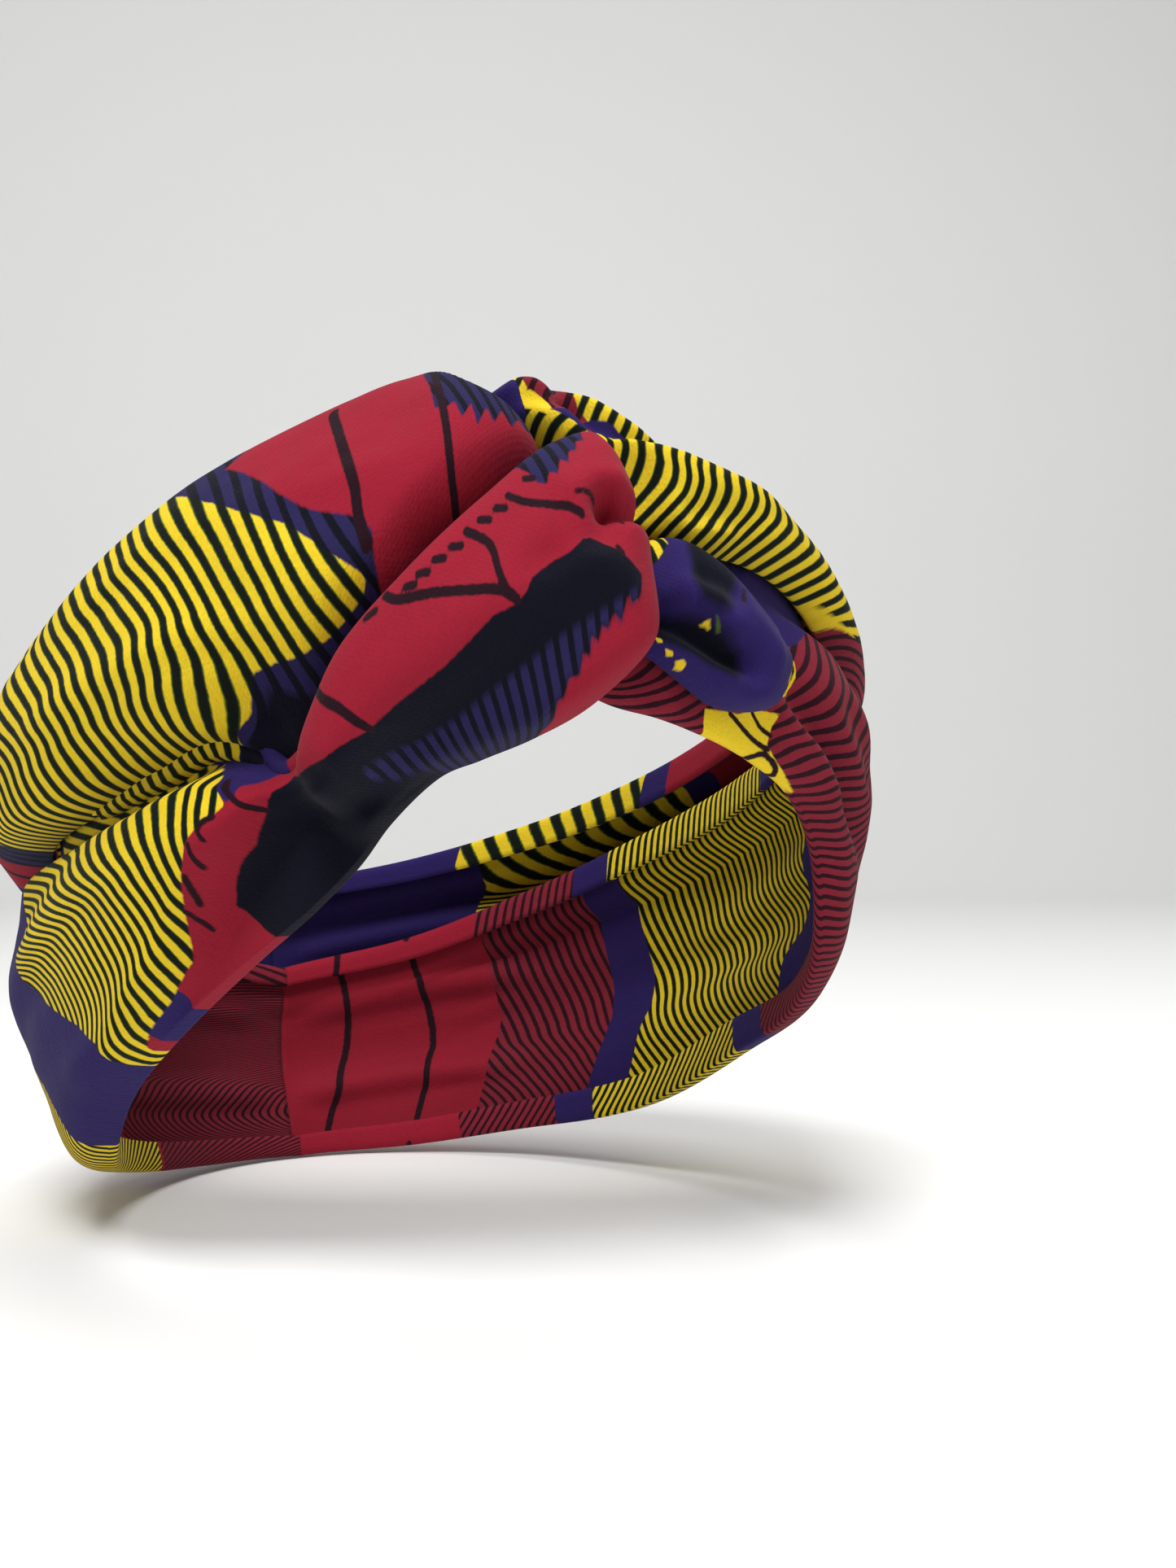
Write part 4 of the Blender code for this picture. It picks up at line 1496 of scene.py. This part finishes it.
RIGHT_LOWER_CHART = Chart(
    ground=Tint.RED,
    patches=(
        Patch(Tint.NAVY, Stripes.NONE, outline=(
            (38, 0.479), (40.7, 0.491), (44.7, 0.476), (49.5, 0.479), (51.4, 0.512), (54, 0.525),
            (58.6, 0.51), (63.8, 0.53), (70, 0.547), (77.8, 0.546), (85.1, 0.546), (88.8, 0.541),
            (99, 0.435), (107, 0.28), (114, 0.13), (118.9, 0.167), (123.1, 0.322), (128.3, 0.534),
            (135.9, 0.712), (138.3, 0.779), (134.4, 0.869), (129.7, 0.998), (128, 1.4), (56, 1.4),
            (54.5, 1.05), (52.6, 0.977), (50.1, 0.951), (49.2, 0.892), (47.4, 0.894), (46, 0.841),
            (43.4, 0.853), (42, 0.793), (40.5, 0.82), (39.9, 0.759), (38.4, 0.792), (37.2, 0.752),
            (36.1, 0.78), (34.5, 0.745), (33.1, 0.789), (31.4, 0.722), (30.8, 0.763), (29, 0.765),
            (27.8, 0.704), (31.8, 0.587), (36.2, 0.49),
        )),
        Patch(Tint.VIOLET, Stripes.BARS, within=0, soft=1.2, outline=(
            (27, 0.74), (34.3, 0.718), (41.2, 0.707), (47.9, 0.697), (55, 0.712), (62.4, 0.723),
            (72.3, 0.747), (82.6, 0.756), (88.5, 0.717), (94.4, 0.667), (96.1, 0.713), (91.6, 0.86),
            (85.1, 0.937), (80, 1.4), (27, 1.4),
        )),
        Patch(Tint.PURPLE, Stripes.NONE, ((158, 0.86), (172, 0.92), (174, 1.4), (158, 1.4))),
        Patch(Tint.PURPLE, Stripes.NONE, outline=(
            (114, -0.4), (116, -0.02), (119, 0.02), (121.5, 0.07), (123.5, 0.13), (126.5, 0.2),
            (126.5, 0.256), (128.3, 0.31), (133, 0.28), (138, 0.25), (146, 0.23), (150, 0.1),
            (150, -0.4),
        )),
        Patch(Tint.YELLOW, Stripes.BLACK, outline=(
            (152, -0.4), (150, 0.0), (149, 0.18), (144.2, 0.231), (131.9, 0.26), (128.3, 0.322),
            (130.5, 0.397), (136.6, 0.525), (139.3, 0.604), (143.5, 0.7), (146.9, 0.779),
            (150.3, 0.868), (160.8, 0.928), (169.8, 0.954), (177, 0.983), (178, 1.4), (300, 1.4),
            (300, -0.4),
        )),
        Patch(Tint.PURPLE, Stripes.NONE, outline=(
            (186, 1.4), (184, 0.95), (182.5, 0.895), (190.2, 0.788), (216, 0.518), (230, 0.1),
            (238, -0.4), (288, -0.4), (285, -0.05), (262, 0.4), (240, 0.7), (228, 0.86), (228, 1.4),
        )),
        Patch(Tint.MAROON, Stripes.BROWN, outline=(
            (300, -0.4), (296, 0.3), (304, 0.6), (300, 1.4), (380, 1.4), (380, -0.4),
        )),
        Patch(Tint.VIOLET, Stripes.BARS, soft=0.4, outline=(
            (22, -0.4), (27, 0.0), (28.9, 0.057), (30.5, 0.136), (32, 0.12), (33.2, 0.175),
            (34.6, 0.155), (36, 0.21), (37.4, 0.175), (39.1, 0.232), (40.4, 0.195), (41.6, 0.232),
            (43.1, 0.2), (43.7, 0.147), (45, 0.082), (52, -0.4),
        )),
    ),
    strokes=(
        Stroke(0.6, ((49.1, 0.15), (46.9, 0.218), (43.2, 0.293), (39.4, 0.357), (37, 0.407))),
        Stroke(0.35, ((37.4, 0.33), (34.6, 0.35), (32.8, 0.375))),
        Stroke(0.7, (
            (58.4, 0.149), (55.7, 0.243), (55, 0.298), (55.2, 0.379), (54.9, 0.457), (53.5, 0.514),
        )),
        Stroke(0.7, (
            (75.3, 0.084), (73.3, 0.17), (66.8, 0.278), (61.1, 0.372), (56, 0.45), (53.5, 0.514),
        )),
        Stroke(0.75, ((94, 0.08), (92.5, 0.2), (90.2, 0.332), (87.6, 0.545))),
        Stroke(0.7, ((130, 0.25), (126.1, 0.275), (122.5, 0.285))),
        Stroke(0.55, ((45.1, 0.142), (43.5, 0.17))),
        *dashes(0.6, (
            ((52.1, 0.156), (50.3, 0.188)), ((55.5, 0.15), (53.7, 0.182)),
            ((61.9, 0.155), (60.1, 0.187)), ((65.4, 0.147), (63.6, 0.179)),
            ((68.8, 0.143), (67, 0.175)), ((71.6, 0.145), (69.9, 0.175)), ((79.6, 0.092), (77.6, 0.11)),
        )),
        Stroke(0.5, ((28.4, 0.46), (28.6, 0.5))),
        Stroke(0.5, ((31.9, 0.572), (31.2, 0.605))),
        Stroke(0.5, ((130.5, 0.4), (133.5, 0.467), (133.1, 0.515))),
        *dashes(0.5, (
            ((136.1, 0.53), (136.6, 0.623)), ((139.9, 0.63), (142.1, 0.729)),
            ((144.7, 0.73), (144, 0.813)),
        )),
    ),
    marks=table(Mark, (0, -45), (135, 0), (150, 5.4), (400, 93)),
    leans=table(
        Lean, (-0.4, 100), (0.0, 68), (0.08, 56), (0.13, 46), (0.29, 20), (0.35, 15), (0.41, 10),
        (0.45, 7), (0.51, 3), (0.57, 1.2), (0.62, 0), (0.72, -1), (0.8, -1), (0.88, 0), (0.94, 2),
        (1.0, 4), (1.4, 10),
    ),
    lean_from=138.0,
    lean_rate=0.05,
)

LEFT_UPPER_CHART = Chart(
    ground=Tint.YELLOW,
    ground_stripes=Stripes.BLACK,
    patches=(
        Patch(Tint.PURPLE, Stripes.NONE, outline=(
            (-5, -0.4), (-5, 1.4), (11, 1.4), (12, 0.8), (12, 0.5), (8, -0.4),
        )),
        Patch(Tint.YELLOW, Stripes.NONE, ((12, 0.5), (12, 0.85), (18, 0.88), (19, 0.6), (16, 0.45))),
        Patch(Tint.MAROON, Stripes.BROWN, outline=(
            (8, -0.4), (14, 0.45), (18, 0.62), (18, 0.78), (22, 0.8), (27, 0.72), (29, 0.58), (26, 0.4),
            (20, -0.4),
        )),
        Patch(Tint.PURPLE, Stripes.NONE, outline=(
            (17, 0.8), (22, 0.66), (27, 0.5), (31.2, 0.415), (37.3, 0.365), (44, 0.275), (47, 0.27),
            (42.1, 0.357), (37, 0.44), (33.2, 0.5), (28.1, 0.6), (24, 0.8),
        )),
        Patch(Tint.YELLOW, Stripes.NONE, outline=(
            (94.5, 1.05), (94.5, 0.994), (99.5, 0.975), (106, 0.945), (115, 0.86), (116, 0.93),
            (108, 1.05),
        )),
        Patch(Tint.MAROON, Stripes.BROWN, outline=(
            (104, 1.4), (104.5, 1.0), (107, 0.965), (112.4, 0.9), (118, 0.8), (125, 0.6), (130, 0.3),
            (134, 0.0), (136, -0.4), (160, -0.4), (160, 1.4),
        )),
        Patch(Tint.PURPLE, Stripes.NONE, outline=(
            (150, -0.4), (142, 0.3), (146, 0.7), (156, 1.4), (250, 1.4), (240, 0.6), (246, -0.4),
        )),
        Patch(Tint.RED, Stripes.NONE, outline=(
            (164, -0.4), (156, 0.3), (160, 0.7), (170, 1.4), (238, 1.4), (228, 0.6), (234, -0.4),
        )),
        Patch(Tint.PURPLE, Stripes.NONE, outline=(
            (320, -0.4), (312, 0.4), (322, 1.4), (400, 1.4), (400, -0.4),
        )),
    ),
    strokes=(
        Stroke(1.0, ((186, 0.1), (182, 0.5), (188, 1.1))),
        Stroke(1.0, ((208, -0.1), (206, 0.4), (212, 0.9))),
    ),
    marks=table(
        Mark, (0, -9.5), (35, 0.5), (45, 3.5), (53.2, 6.5), (60.3, 8.5), (70.3, 11.5), (78.7, 13.5),
        (88, 15.5), (96.5, 17.5), (101, 18.5), (112, 21.5), (400, 100),
    ),
    leans=table(
        Lean, (-0.4, 12), (0.4, 12), (0.6, 11), (0.7, 9.5), (0.8, 7.5), (0.9, 4), (1.0, 0.5), (1.4, 0),
    ),
    lean_from=104.0,
    lean_rate=0.1,
    bends=table(
        Lean, (-0.4, 3), (0.25, 2.8), (0.45, 0.8), (0.55, 0), (0.65, 0.6), (0.75, 0.2), (0.82, -0.9),
        (0.9, -2.3), (1.0, -4.2), (1.4, -9),
    ),
)

LEFT_LOWER_CHART = Chart(
    ground=Tint.MAROON,
    ground_stripes=Stripes.BROWN,
    patches=(
        Patch(Tint.PURPLE, Stripes.NONE, outline=(
            (10, -0.4), (12, 0.3), (24, 0.45), (40, 0.5), (52, 0.47), (58.5, 0.4), (64, 0.31),
            (75, 0.18), (86, 0.066), (90, 0.0), (98, -0.4),
        )),
        Patch(Tint.YELLOW, Stripes.NONE, outline=(
            (29.6, 0.864), (29.4, 0.94), (30.2, 1.0), (31, 1.4), (70, 1.4), (63, 1.0), (57.5, 0.985),
            (52.3, 0.955), (48.3, 0.91), (48.9, 0.82), (50.8, 0.75), (44, 0.78), (39, 0.84), (33, 0.86),
        )),
        Patch(Tint.YELLOW, Stripes.NONE, outline=(
            (53, 0.48), (56.4, 0.49), (57.5, 0.55), (57, 0.62), (53, 0.66),
        )),
        Patch(Tint.PURPLE, Stripes.NONE, outline=(
            (150, -0.4), (142, 0.3), (150, 0.6), (168, 1.4), (262, 1.4), (250, 0.6), (256, -0.4),
        )),
        Patch(Tint.YELLOW, Stripes.BLACK, outline=(
            (164, -0.4), (156, 0.3), (166, 0.6), (184, 1.4), (246, 1.4), (236, 0.6), (242, -0.4),
        )),
        Patch(Tint.RED, Stripes.NONE, ((292, -0.4), (286, 0.5), (298, 1.4), (380, 1.4), (380, -0.4))),
    ),
    strokes=(
        Stroke(0.3, ((55.8, 0.49), (56.6, 0.55), (56.1, 0.62))),
        Stroke(0.55, ((36.5, 0.855), (41.6, 0.905), (45.6, 0.925), (49, 0.925))),
        Stroke(0.55, (
            (42.5, 1.04), (45.7, 0.985), (48, 0.955), (51, 0.962), (53.4, 0.981), (56, 1.03),
        )),
        Stroke(0.5, ((43, 0.8), (45.5, 0.845), (49, 0.86))),
        Stroke(1.0, ((312, 0.0), (306, 0.5), (312, 1.0))),
        Stroke(1.0, ((334, -0.1), (330, 0.4), (338, 0.9))),
    ),
    marks=table(
        Mark, (0, -9.5), (13, -7.5), (19.5, -6.5), (27, -5.5), (35, -4.5), (42.3, -3.5), (46.5, -2.5),
        (51, -1.5), (58.4, 0.5), (67.2, 2.5), (76.2, 4.5), (85, 6.5), (91.6, 8.5), (97.7, 10.5),
        (103.5, 12.5), (111, 15.5), (380, 106),
    ),
    leans=table(
        Lean, (-0.4, 20), (0.0, 15), (0.3, 9.5), (0.45, 5.5), (0.55, 2.5), (0.62, 0), (0.68, -4),
        (0.78, -10.5), (0.86, -16), (0.92, -19), (0.96, -21.5), (1.0, -24.5), (1.4, -40),
    ),
)

KNOT_LOOP_CHART = Chart(
    ground=Tint.PURPLE,
    patches=(
        Patch(Tint.YELLOW, Stripes.BLACK, outline=(
            (2, -0.4), (2, 0.4), (9, 0.34), (13.1, 0.253), (16.2, 0.136), (19, -0.4),
        )),
        # Partly print and partly painted shade: this soft navy smear is dark print that also stands in
        # for the shadow of the loop's fold
        Patch(Tint.NAVY, Stripes.NONE, soft=1.9, outline=(
            (22, -0.02), (29, 0.0), (32, 0.14), (30.3, 0.27), (28, 0.38), (24.5, 0.56), (22.3, 0.6),
            (19, 0.58), (18, 0.46), (19.5, 0.3), (20, 0.2),
        )),
        Patch(Tint.NAVY, Stripes.NONE, soft=1.4, outline=(
            (7, 0.64), (14.7, 0.64), (20.4, 0.64), (25.4, 0.65), (31, 0.68), (32.5, 0.77), (28, 0.885),
            (22.2, 0.905), (16, 0.895), (7, 0.86),
        )),
        Patch(Tint.YELLOW, Stripes.NONE, ((10.2, 0.86), (11.6, 0.855), (11.8, 0.89), (10.5, 0.9))),
        Patch(Tint.YELLOW, Stripes.NONE, ((12.4, 0.925), (14.1, 0.92), (14.4, 0.95), (13.0, 0.965))),
        Patch(Tint.YELLOW, Stripes.NONE, outline=(
            (15.5, 0.965), (16.8, 0.94), (18, 0.955), (18.1, 0.985), (16.4, 0.99),
        )),
        Patch(Tint.YELLOW, Stripes.NONE, ((20.8, 0.663), (21.6, 0.638), (23.0, 0.668))),
        Patch(Tint.FRINGE, Stripes.NONE, ((22.1, 0.622), (22.6, 0.62), (24.8, 0.664), (24.3, 0.668))),
    ),
    strokes=(Stroke(0.35, ((32.7, 0.22), (31.2, 0.31), (29.9, 0.4))),),
    marks=table(Mark, (0, 0), (56, 20)),
    leans=table(Lean, (-0.4, 0), (1.4, 0)),
)


@dataclass
class RightStrip:
    """The strip on the wearer's right: its upper leg, and the twist that ends in its lower leg."""

    cotton: PrintedCotton
    ends: dict[str, np.ndarray] = field(default_factory=dict)

    def build(self) -> list[bpy.types.Object]:
        """Make both legs.

        Returns:
            The legs' objects.
        """
        upper = Fold(
            node="right_upper_fold",
            slot="yellow_cotton",
            stations=RIGHT_UPPER,
            chart=RIGHT_UPPER_CHART,
            flat=(0.070, 0.355),
            rows=380,
            side=1,
            tucks=RIGHT_UPPER_TUCKS,
            drops=RIGHT_UPPER_DROPS,
            creases=RIGHT_UPPER_CREASES,
            ripple=0.5,
            seed=11,
            rests_on=("right_lower_fold",),
        )
        lower = Fold(
            node="right_lower_fold",
            slot="red_cotton",
            stations=RIGHT_LOWER,
            chart=RIGHT_LOWER_CHART,
            flat=(0.078, 0.367),
            rows=384,
            side=1,
            tucks=RIGHT_LOWER_TUCKS,
            creases=RIGHT_LOWER_CREASES,
            ripple=0.4,
            seed=23,
            rests_on=("right_upper_fold",),
        )
        pieces = [upper.build(self.cotton), lower.build(self.cotton)]
        self.ends = {"upper": upper.end_row, "lower": lower.end_row}
        return pieces


@dataclass
class LeftStrip:
    """The strip on the wearer's left: its two legs, and the loop that stands out of the knot."""

    cotton: PrintedCotton
    ends: dict[str, np.ndarray] = field(default_factory=dict)

    def build(self) -> list[bpy.types.Object]:
        """Make both legs and the loop.

        Returns:
            Their objects.
        """
        upper = Fold(
            node="left_upper_fold",
            slot="yellow_cotton",
            stations=LEFT_UPPER,
            chart=LEFT_UPPER_CHART,
            flat=(0.055, 0.379),
            rows=370,
            side=-1,
            tucks=LEFT_UPPER_TUCKS,
            creases=LEFT_UPPER_CREASES,
            ripple=0.4,
            seed=37,
            rests_on=("left_lower_fold",),
        )
        lower = Fold(
            node="left_lower_fold",
            slot="maroon_cotton",
            stations=LEFT_LOWER,
            chart=LEFT_LOWER_CHART,
            flat=(0.075, 0.349),
            rows=370,
            side=-1,
            tucks=LEFT_LOWER_TUCKS,
            creases=LEFT_LOWER_CREASES,
            ripple=0.5,
            seed=41,
            rests_on=("left_upper_fold",),
        )
        loop = Fold(
            node="knot_loop",
            slot="violet_cotton",
            stations=KNOT_LOOP,
            chart=KNOT_LOOP_CHART,
            flat=(0.035, 0.055),
            rows=110,
            side=-1,
            seamed=False,
            creases=KNOT_LOOP_CREASES,
            ripple=0.35,
            seed=53,
            rests_on=("left_lower_fold",),
        )
        pieces = [upper.build(self.cotton), lower.build(self.cotton), loop.build(self.cotton)]
        self.ends = {"upper": upper.end_row, "lower": lower.end_row}
        return pieces


class SeamRow(NamedTuple):
    """One row of stitches: the legs it joins, where it starts and ends across them, and a slot that is
    not used.
    """

    leg: str
    start: float
    end: float
    slot: str


@dataclass
class BackSeam:
    """Two rows of small stitches that join the strips' ends at the back.

    Attributes:
        thread: finish of the stitches.
        pitch: distance from stitch to stitch, in metres.
        size: length, thickness and height of a stitch, in metres.
        slant: widest tilt of a stitch either way, in radians.
        rise: how far the stitches' middles lie off the cloth, in metres.
        seed: fixed seed of the tilts.
        facets: faces round and along a stitch.
        rows: the rows, from the upper legs down.
    """

    thread: PlainThread
    pitch: float = 0.0034
    size: tuple[float, float, float] = (0.0034, 0.00075, 0.0006)
    slant: float = 0.16
    rise: float = 0.0001
    seed: int = 7
    facets: tuple[int, int] = (10, 8)
    rows: tuple[SeamRow, ...] = (
        SeamRow("upper", 0.2, 0.62, "yellow_cotton"),
        SeamRow("lower", 0.2, 0.8, "maroon_cotton"),
    )

    def build(self, right: dict[str, np.ndarray], left: dict[str, np.ndarray]) -> list[bpy.types.Object]:
        """Make a row of stitches on each pair of ends.

        Args:
            right: end rows of the right strip's legs.
            left: end rows of the left strip's legs.

        Returns:
            The rows' objects.
        """
        tree = self.tree()
        material = self.thread.material()
        pieces = []
        for row in self.rows:
            path = self.path(right[row.leg], left[row.leg], row)
            piece = self.stitch(tree, material, "back_seam_" + row.leg, path)
            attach(piece, BODY)
            pieces.append(piece)
        return pieces

    def path(self, right: np.ndarray, left: np.ndarray, row: SeamRow) -> np.ndarray:
        """Line midway between two end rows.

        Args:
            right: the right strip's end row.
            left: the left strip's end row.
            row: the row of stitches, for where it starts and ends.

        Returns:
            Points of the line, a little off the cloth.
        """
        middle = (right + left) / 2
        start, end = (int(share * (len(middle) - 1)) for share in (row.start, row.end))
        middle = middle[start : end + 1]
        run = np.gradient(middle, axis=0)
        out = np.cross(run, np.array([1.0, 0.0, 0.0]))
        out *= np.sign(out[:, 1:2].mean()) / np.maximum(np.linalg.norm(out, axis=1, keepdims=True), TINY)
        return middle + out * self.rise

    def tree(self) -> bpy.types.NodeTree:
        """Node tree that lays stitches along a line.

        Returns:
            The tree, with its sizes as named inputs.
        """
        tree = bpy.data.node_groups.new("stitch_row", "GeometryNodeTree")
        for name, kind in (
            ("Line", "NodeSocketGeometry"),
            ("Pitch", "NodeSocketFloat"),
            ("Size", "NodeSocketVector"),
            ("Slant", "NodeSocketFloat"),
            ("Seed", "NodeSocketInt"),
            ("Thread", "NodeSocketMaterial"),
        ):
            tree.interface.new_socket(name, in_out="INPUT", socket_type=kind)
        tree.interface.new_socket("Stitches", in_out="OUTPUT", socket_type="NodeSocketGeometry")
        enter = tree.nodes.new("NodeGroupInput").outputs
        leave = tree.nodes.new("NodeGroupOutput").inputs
        to_curve = tree.nodes.new("GeometryNodeMeshToCurve")
        spaced = tree.nodes.new("GeometryNodeResampleCurve")
        spaced.mode = "LENGTH"
        bead = tree.nodes.new("GeometryNodeMeshUVSphere")
        bead.inputs["Segments"].default_value, bead.inputs["Rings"].default_value = self.facets
        bead.inputs["Radius"].default_value = 0.5
        low = tree.nodes.new("ShaderNodeMath")
        low.operation = "MULTIPLY"
        low.inputs[1].default_value = -1.0
        chance = tree.nodes.new("FunctionNodeRandomValue")
        turn = tree.nodes.new("ShaderNodeCombineXYZ")
        laid = tree.nodes.new("GeometryNodeInstanceOnPoints")
        real = tree.nodes.new("GeometryNodeRealizeInstances")
        dressed = tree.nodes.new("GeometryNodeSetMaterial")
        smooth = tree.nodes.new("GeometryNodeSetShadeSmooth")
        for source, target in (
            (enter["Line"], to_curve.inputs["Mesh"]),
            (to_curve.outputs["Curve"], spaced.inputs["Curve"]),
            (enter["Pitch"], spaced.inputs["Length"]),
            (enter["Slant"], low.inputs[0]),
            (low.outputs[0], chance.inputs[2]),
            (enter["Slant"], chance.inputs[3]),
            (enter["Seed"], chance.inputs["Seed"]),
            (chance.outputs[1], turn.inputs["Y"]),
            (spaced.outputs["Curve"], laid.inputs["Points"]),
            (bead.outputs["Mesh"], smooth.inputs["Geometry"]),
            (smooth.outputs["Geometry"], laid.inputs["Instance"]),
            (turn.outputs["Vector"], laid.inputs["Rotation"]),
            (enter["Size"], laid.inputs["Scale"]),
            (laid.outputs["Instances"], real.inputs["Geometry"]),
            (real.outputs["Geometry"], dressed.inputs["Geometry"]),
            (enter["Thread"], dressed.inputs["Material"]),
            (dressed.outputs["Geometry"], leave["Stitches"]),
        ):
            tree.links.new(source, target)
        return tree

    def stitch(
        self, tree: bpy.types.NodeTree, material: bpy.types.Material, name: str, path: np.ndarray
    ) -> bpy.types.Object:
        """Lay stitches along a line and keep them as plain mesh.

        Args:
            tree: the node tree that lays them.
            material: finish of the stitches.
            name: name of the row.
            path: points of the line.

        Returns:
            The row's object.
        """
        line = bpy.data.meshes.new(name + "_line")
        line.from_pydata(path.tolist(), [(i, i + 1) for i in range(len(path) - 1)], [])
        holder = link_object(name + "_line", line)
        modifier = holder.modifiers.new("stitches", "NODES")
        modifier.node_group = tree
        values = {
            "Pitch": self.pitch,
            "Size": self.size,
            "Slant": self.slant,
            "Seed": self.seed,
            "Thread": material,
        }
        for item in tree.interface.items_tree:
            if item.in_out == "INPUT" and item.name in values:
                modifier[item.identifier] = values[item.name]
        graph = bpy.context.evaluated_depsgraph_get()
        mesh = bpy.data.meshes.new_from_object(holder.evaluated_get(graph))
        mesh.name = name
        bpy.data.objects.remove(holder)
        bpy.data.meshes.remove(line)
        piece = link_object(name, mesh)
        LOG.info("%s: %d faces", name, len(mesh.polygons))
        return piece


class Lamp(NamedTuple):
    """A soft square light: its name, where it stands, its side in metres and its power in watts."""

    name: str
    place: tuple[float, float, float]
    size: float
    power: float


@dataclass
class Studio:
    """Floor, light and camera.

    Attributes:
        floor_size: how far the floor reaches to the front and to each side, in metres.
        wall_distance: where it starts to bend up, in metres behind the headband.
        wall_height: height of the backdrop, in metres.
        bend: radius of the bend, in metres.
        bend_steps: flat pieces of the bend.
        clearance: gap under the headband, in metres.
        surround: strength of the even light all round.
        camera_place: where the camera stands, in metres.
        camera_turn: its turn to the wearer's left, in degrees.
        backdrop_turn: turn of the backdrop, in degrees.
        lens: focal length, in millimetres.
        lamps: the lights.
    """

    floor_size: float = 3.0
    wall_distance: float = 1.2
    wall_height: float = 2.4
    bend: float = 0.5
    bend_steps: int = 16
    clearance: float = 0.0005
    surround: float = 0.3
    camera_place: tuple[float, float, float] = (-0.1902, -0.4078, -0.015)
    camera_turn: float = -29.64
    backdrop_turn: float = 25.0
    lens: float = 44.56
    lamps: tuple[Lamp, ...] = (
        Lamp("key", (-0.62, -0.80, 1.28), 0.55, 25.0),
        Lamp("fill", (1.1, -0.8, 0.35), 0.8, 2.4),
        Lamp("top", (0.1, 0.1, 1.4), 0.9, 10.0),
    )

    def build(self) -> None:
        """Make the floor, the lights, the world and the camera."""
        self.make_floor()
        for lamp in self.lamps:
            self.make_light(lamp)
        self.make_world()
        self.make_camera()
        bpy.context.scene.view_settings.view_transform = "Standard"

    def make_floor(self) -> None:
        """Pale floor that bends up into a backdrop."""
        low = CAD_BOX[0][2] - self.clearance
        profile = [(-self.floor_size, 0.0)]
        for step in range(self.bend_steps + 1):
            angle = math.radians(90 * step / self.bend_steps)
            reach = self.wall_distance + self.bend * math.sin(angle)
            profile.append((reach, self.bend * (1 - math.cos(angle))))
        profile.append((self.wall_distance + self.bend, self.wall_height))
        turn = math.radians(self.backdrop_turn)
        direction = Vector((math.sin(turn), math.cos(turn), 0.0))
        aside = Vector((direction.y, -direction.x, 0.0))
        verts = []
        for reach, rise in profile:
            for side in (-self.floor_size, self.floor_size):
                spot = direction * reach + aside * side
                verts.append((spot.x, spot.y, low + rise))
        faces = [(2 * i, 2 * i + 1, 2 * i + 3, 2 * i + 2) for i in range(len(profile) - 1)]
        mesh = bpy.data.meshes.new("floor")
        mesh.from_pydata(verts, [], faces)
        mesh.shade_smooth()
        floor = link_object("floor", mesh)
        mesh.materials.append(PaleFloor().material())

    def make_light(self, lamp: Lamp) -> None:
        """Soft square light that faces the headband.

        Args:
            lamp: the light's place, size and power.
        """
        data = bpy.data.lights.new(lamp.name, "AREA")
        data.size = lamp.size
        data.energy = lamp.power
        light = link_object(lamp.name, data)
        light.location = lamp.place
        light.rotation_euler = (-Vector(lamp.place)).to_track_quat("-Z", "Y").to_euler()

    def make_world(self) -> None:
        """Even pale surroundings."""
        world = bpy.data.worlds.new("studio")
        world.use_nodes = True
        backdrop = world.node_tree.nodes["Background"]
        backdrop.inputs["Color"].default_value = (1.0, 1.0, 1.0, 1.0)
        backdrop.inputs["Strength"].default_value = self.surround
        bpy.context.scene.world = world

    def make_camera(self) -> None:
        """Camera at the photograph's place, level."""
        data = bpy.data.cameras.new("camera")
        data.lens = self.lens
        data.clip_start = 0.01
        camera = link_object("camera", data)
        camera.location = self.camera_place
        camera.rotation_euler = (math.radians(90), 0.0, math.radians(self.camera_turn))
        bpy.context.scene.camera = camera


def main() -> None:
    """Build the headband and its studio."""
    logging.basicConfig(level=logging.INFO)
    cotton = PrintedCotton()
    cotton.prepare()
    strips = (RightStrip(cotton), LeftStrip(cotton))
    for strip in strips:
        pieces = strip.build()
        LOG.info("%s: %d pieces", type(strip).__name__, len(pieces))
    rows = BackSeam(PlainThread("seam_thread", Tint.THREAD)).build(strips[0].ends, strips[1].ends)
    LOG.info("back seam: %d rows", len(rows))
    Studio().build()
    LOG.info("studio built")


if __name__ == "__main__":
    main()
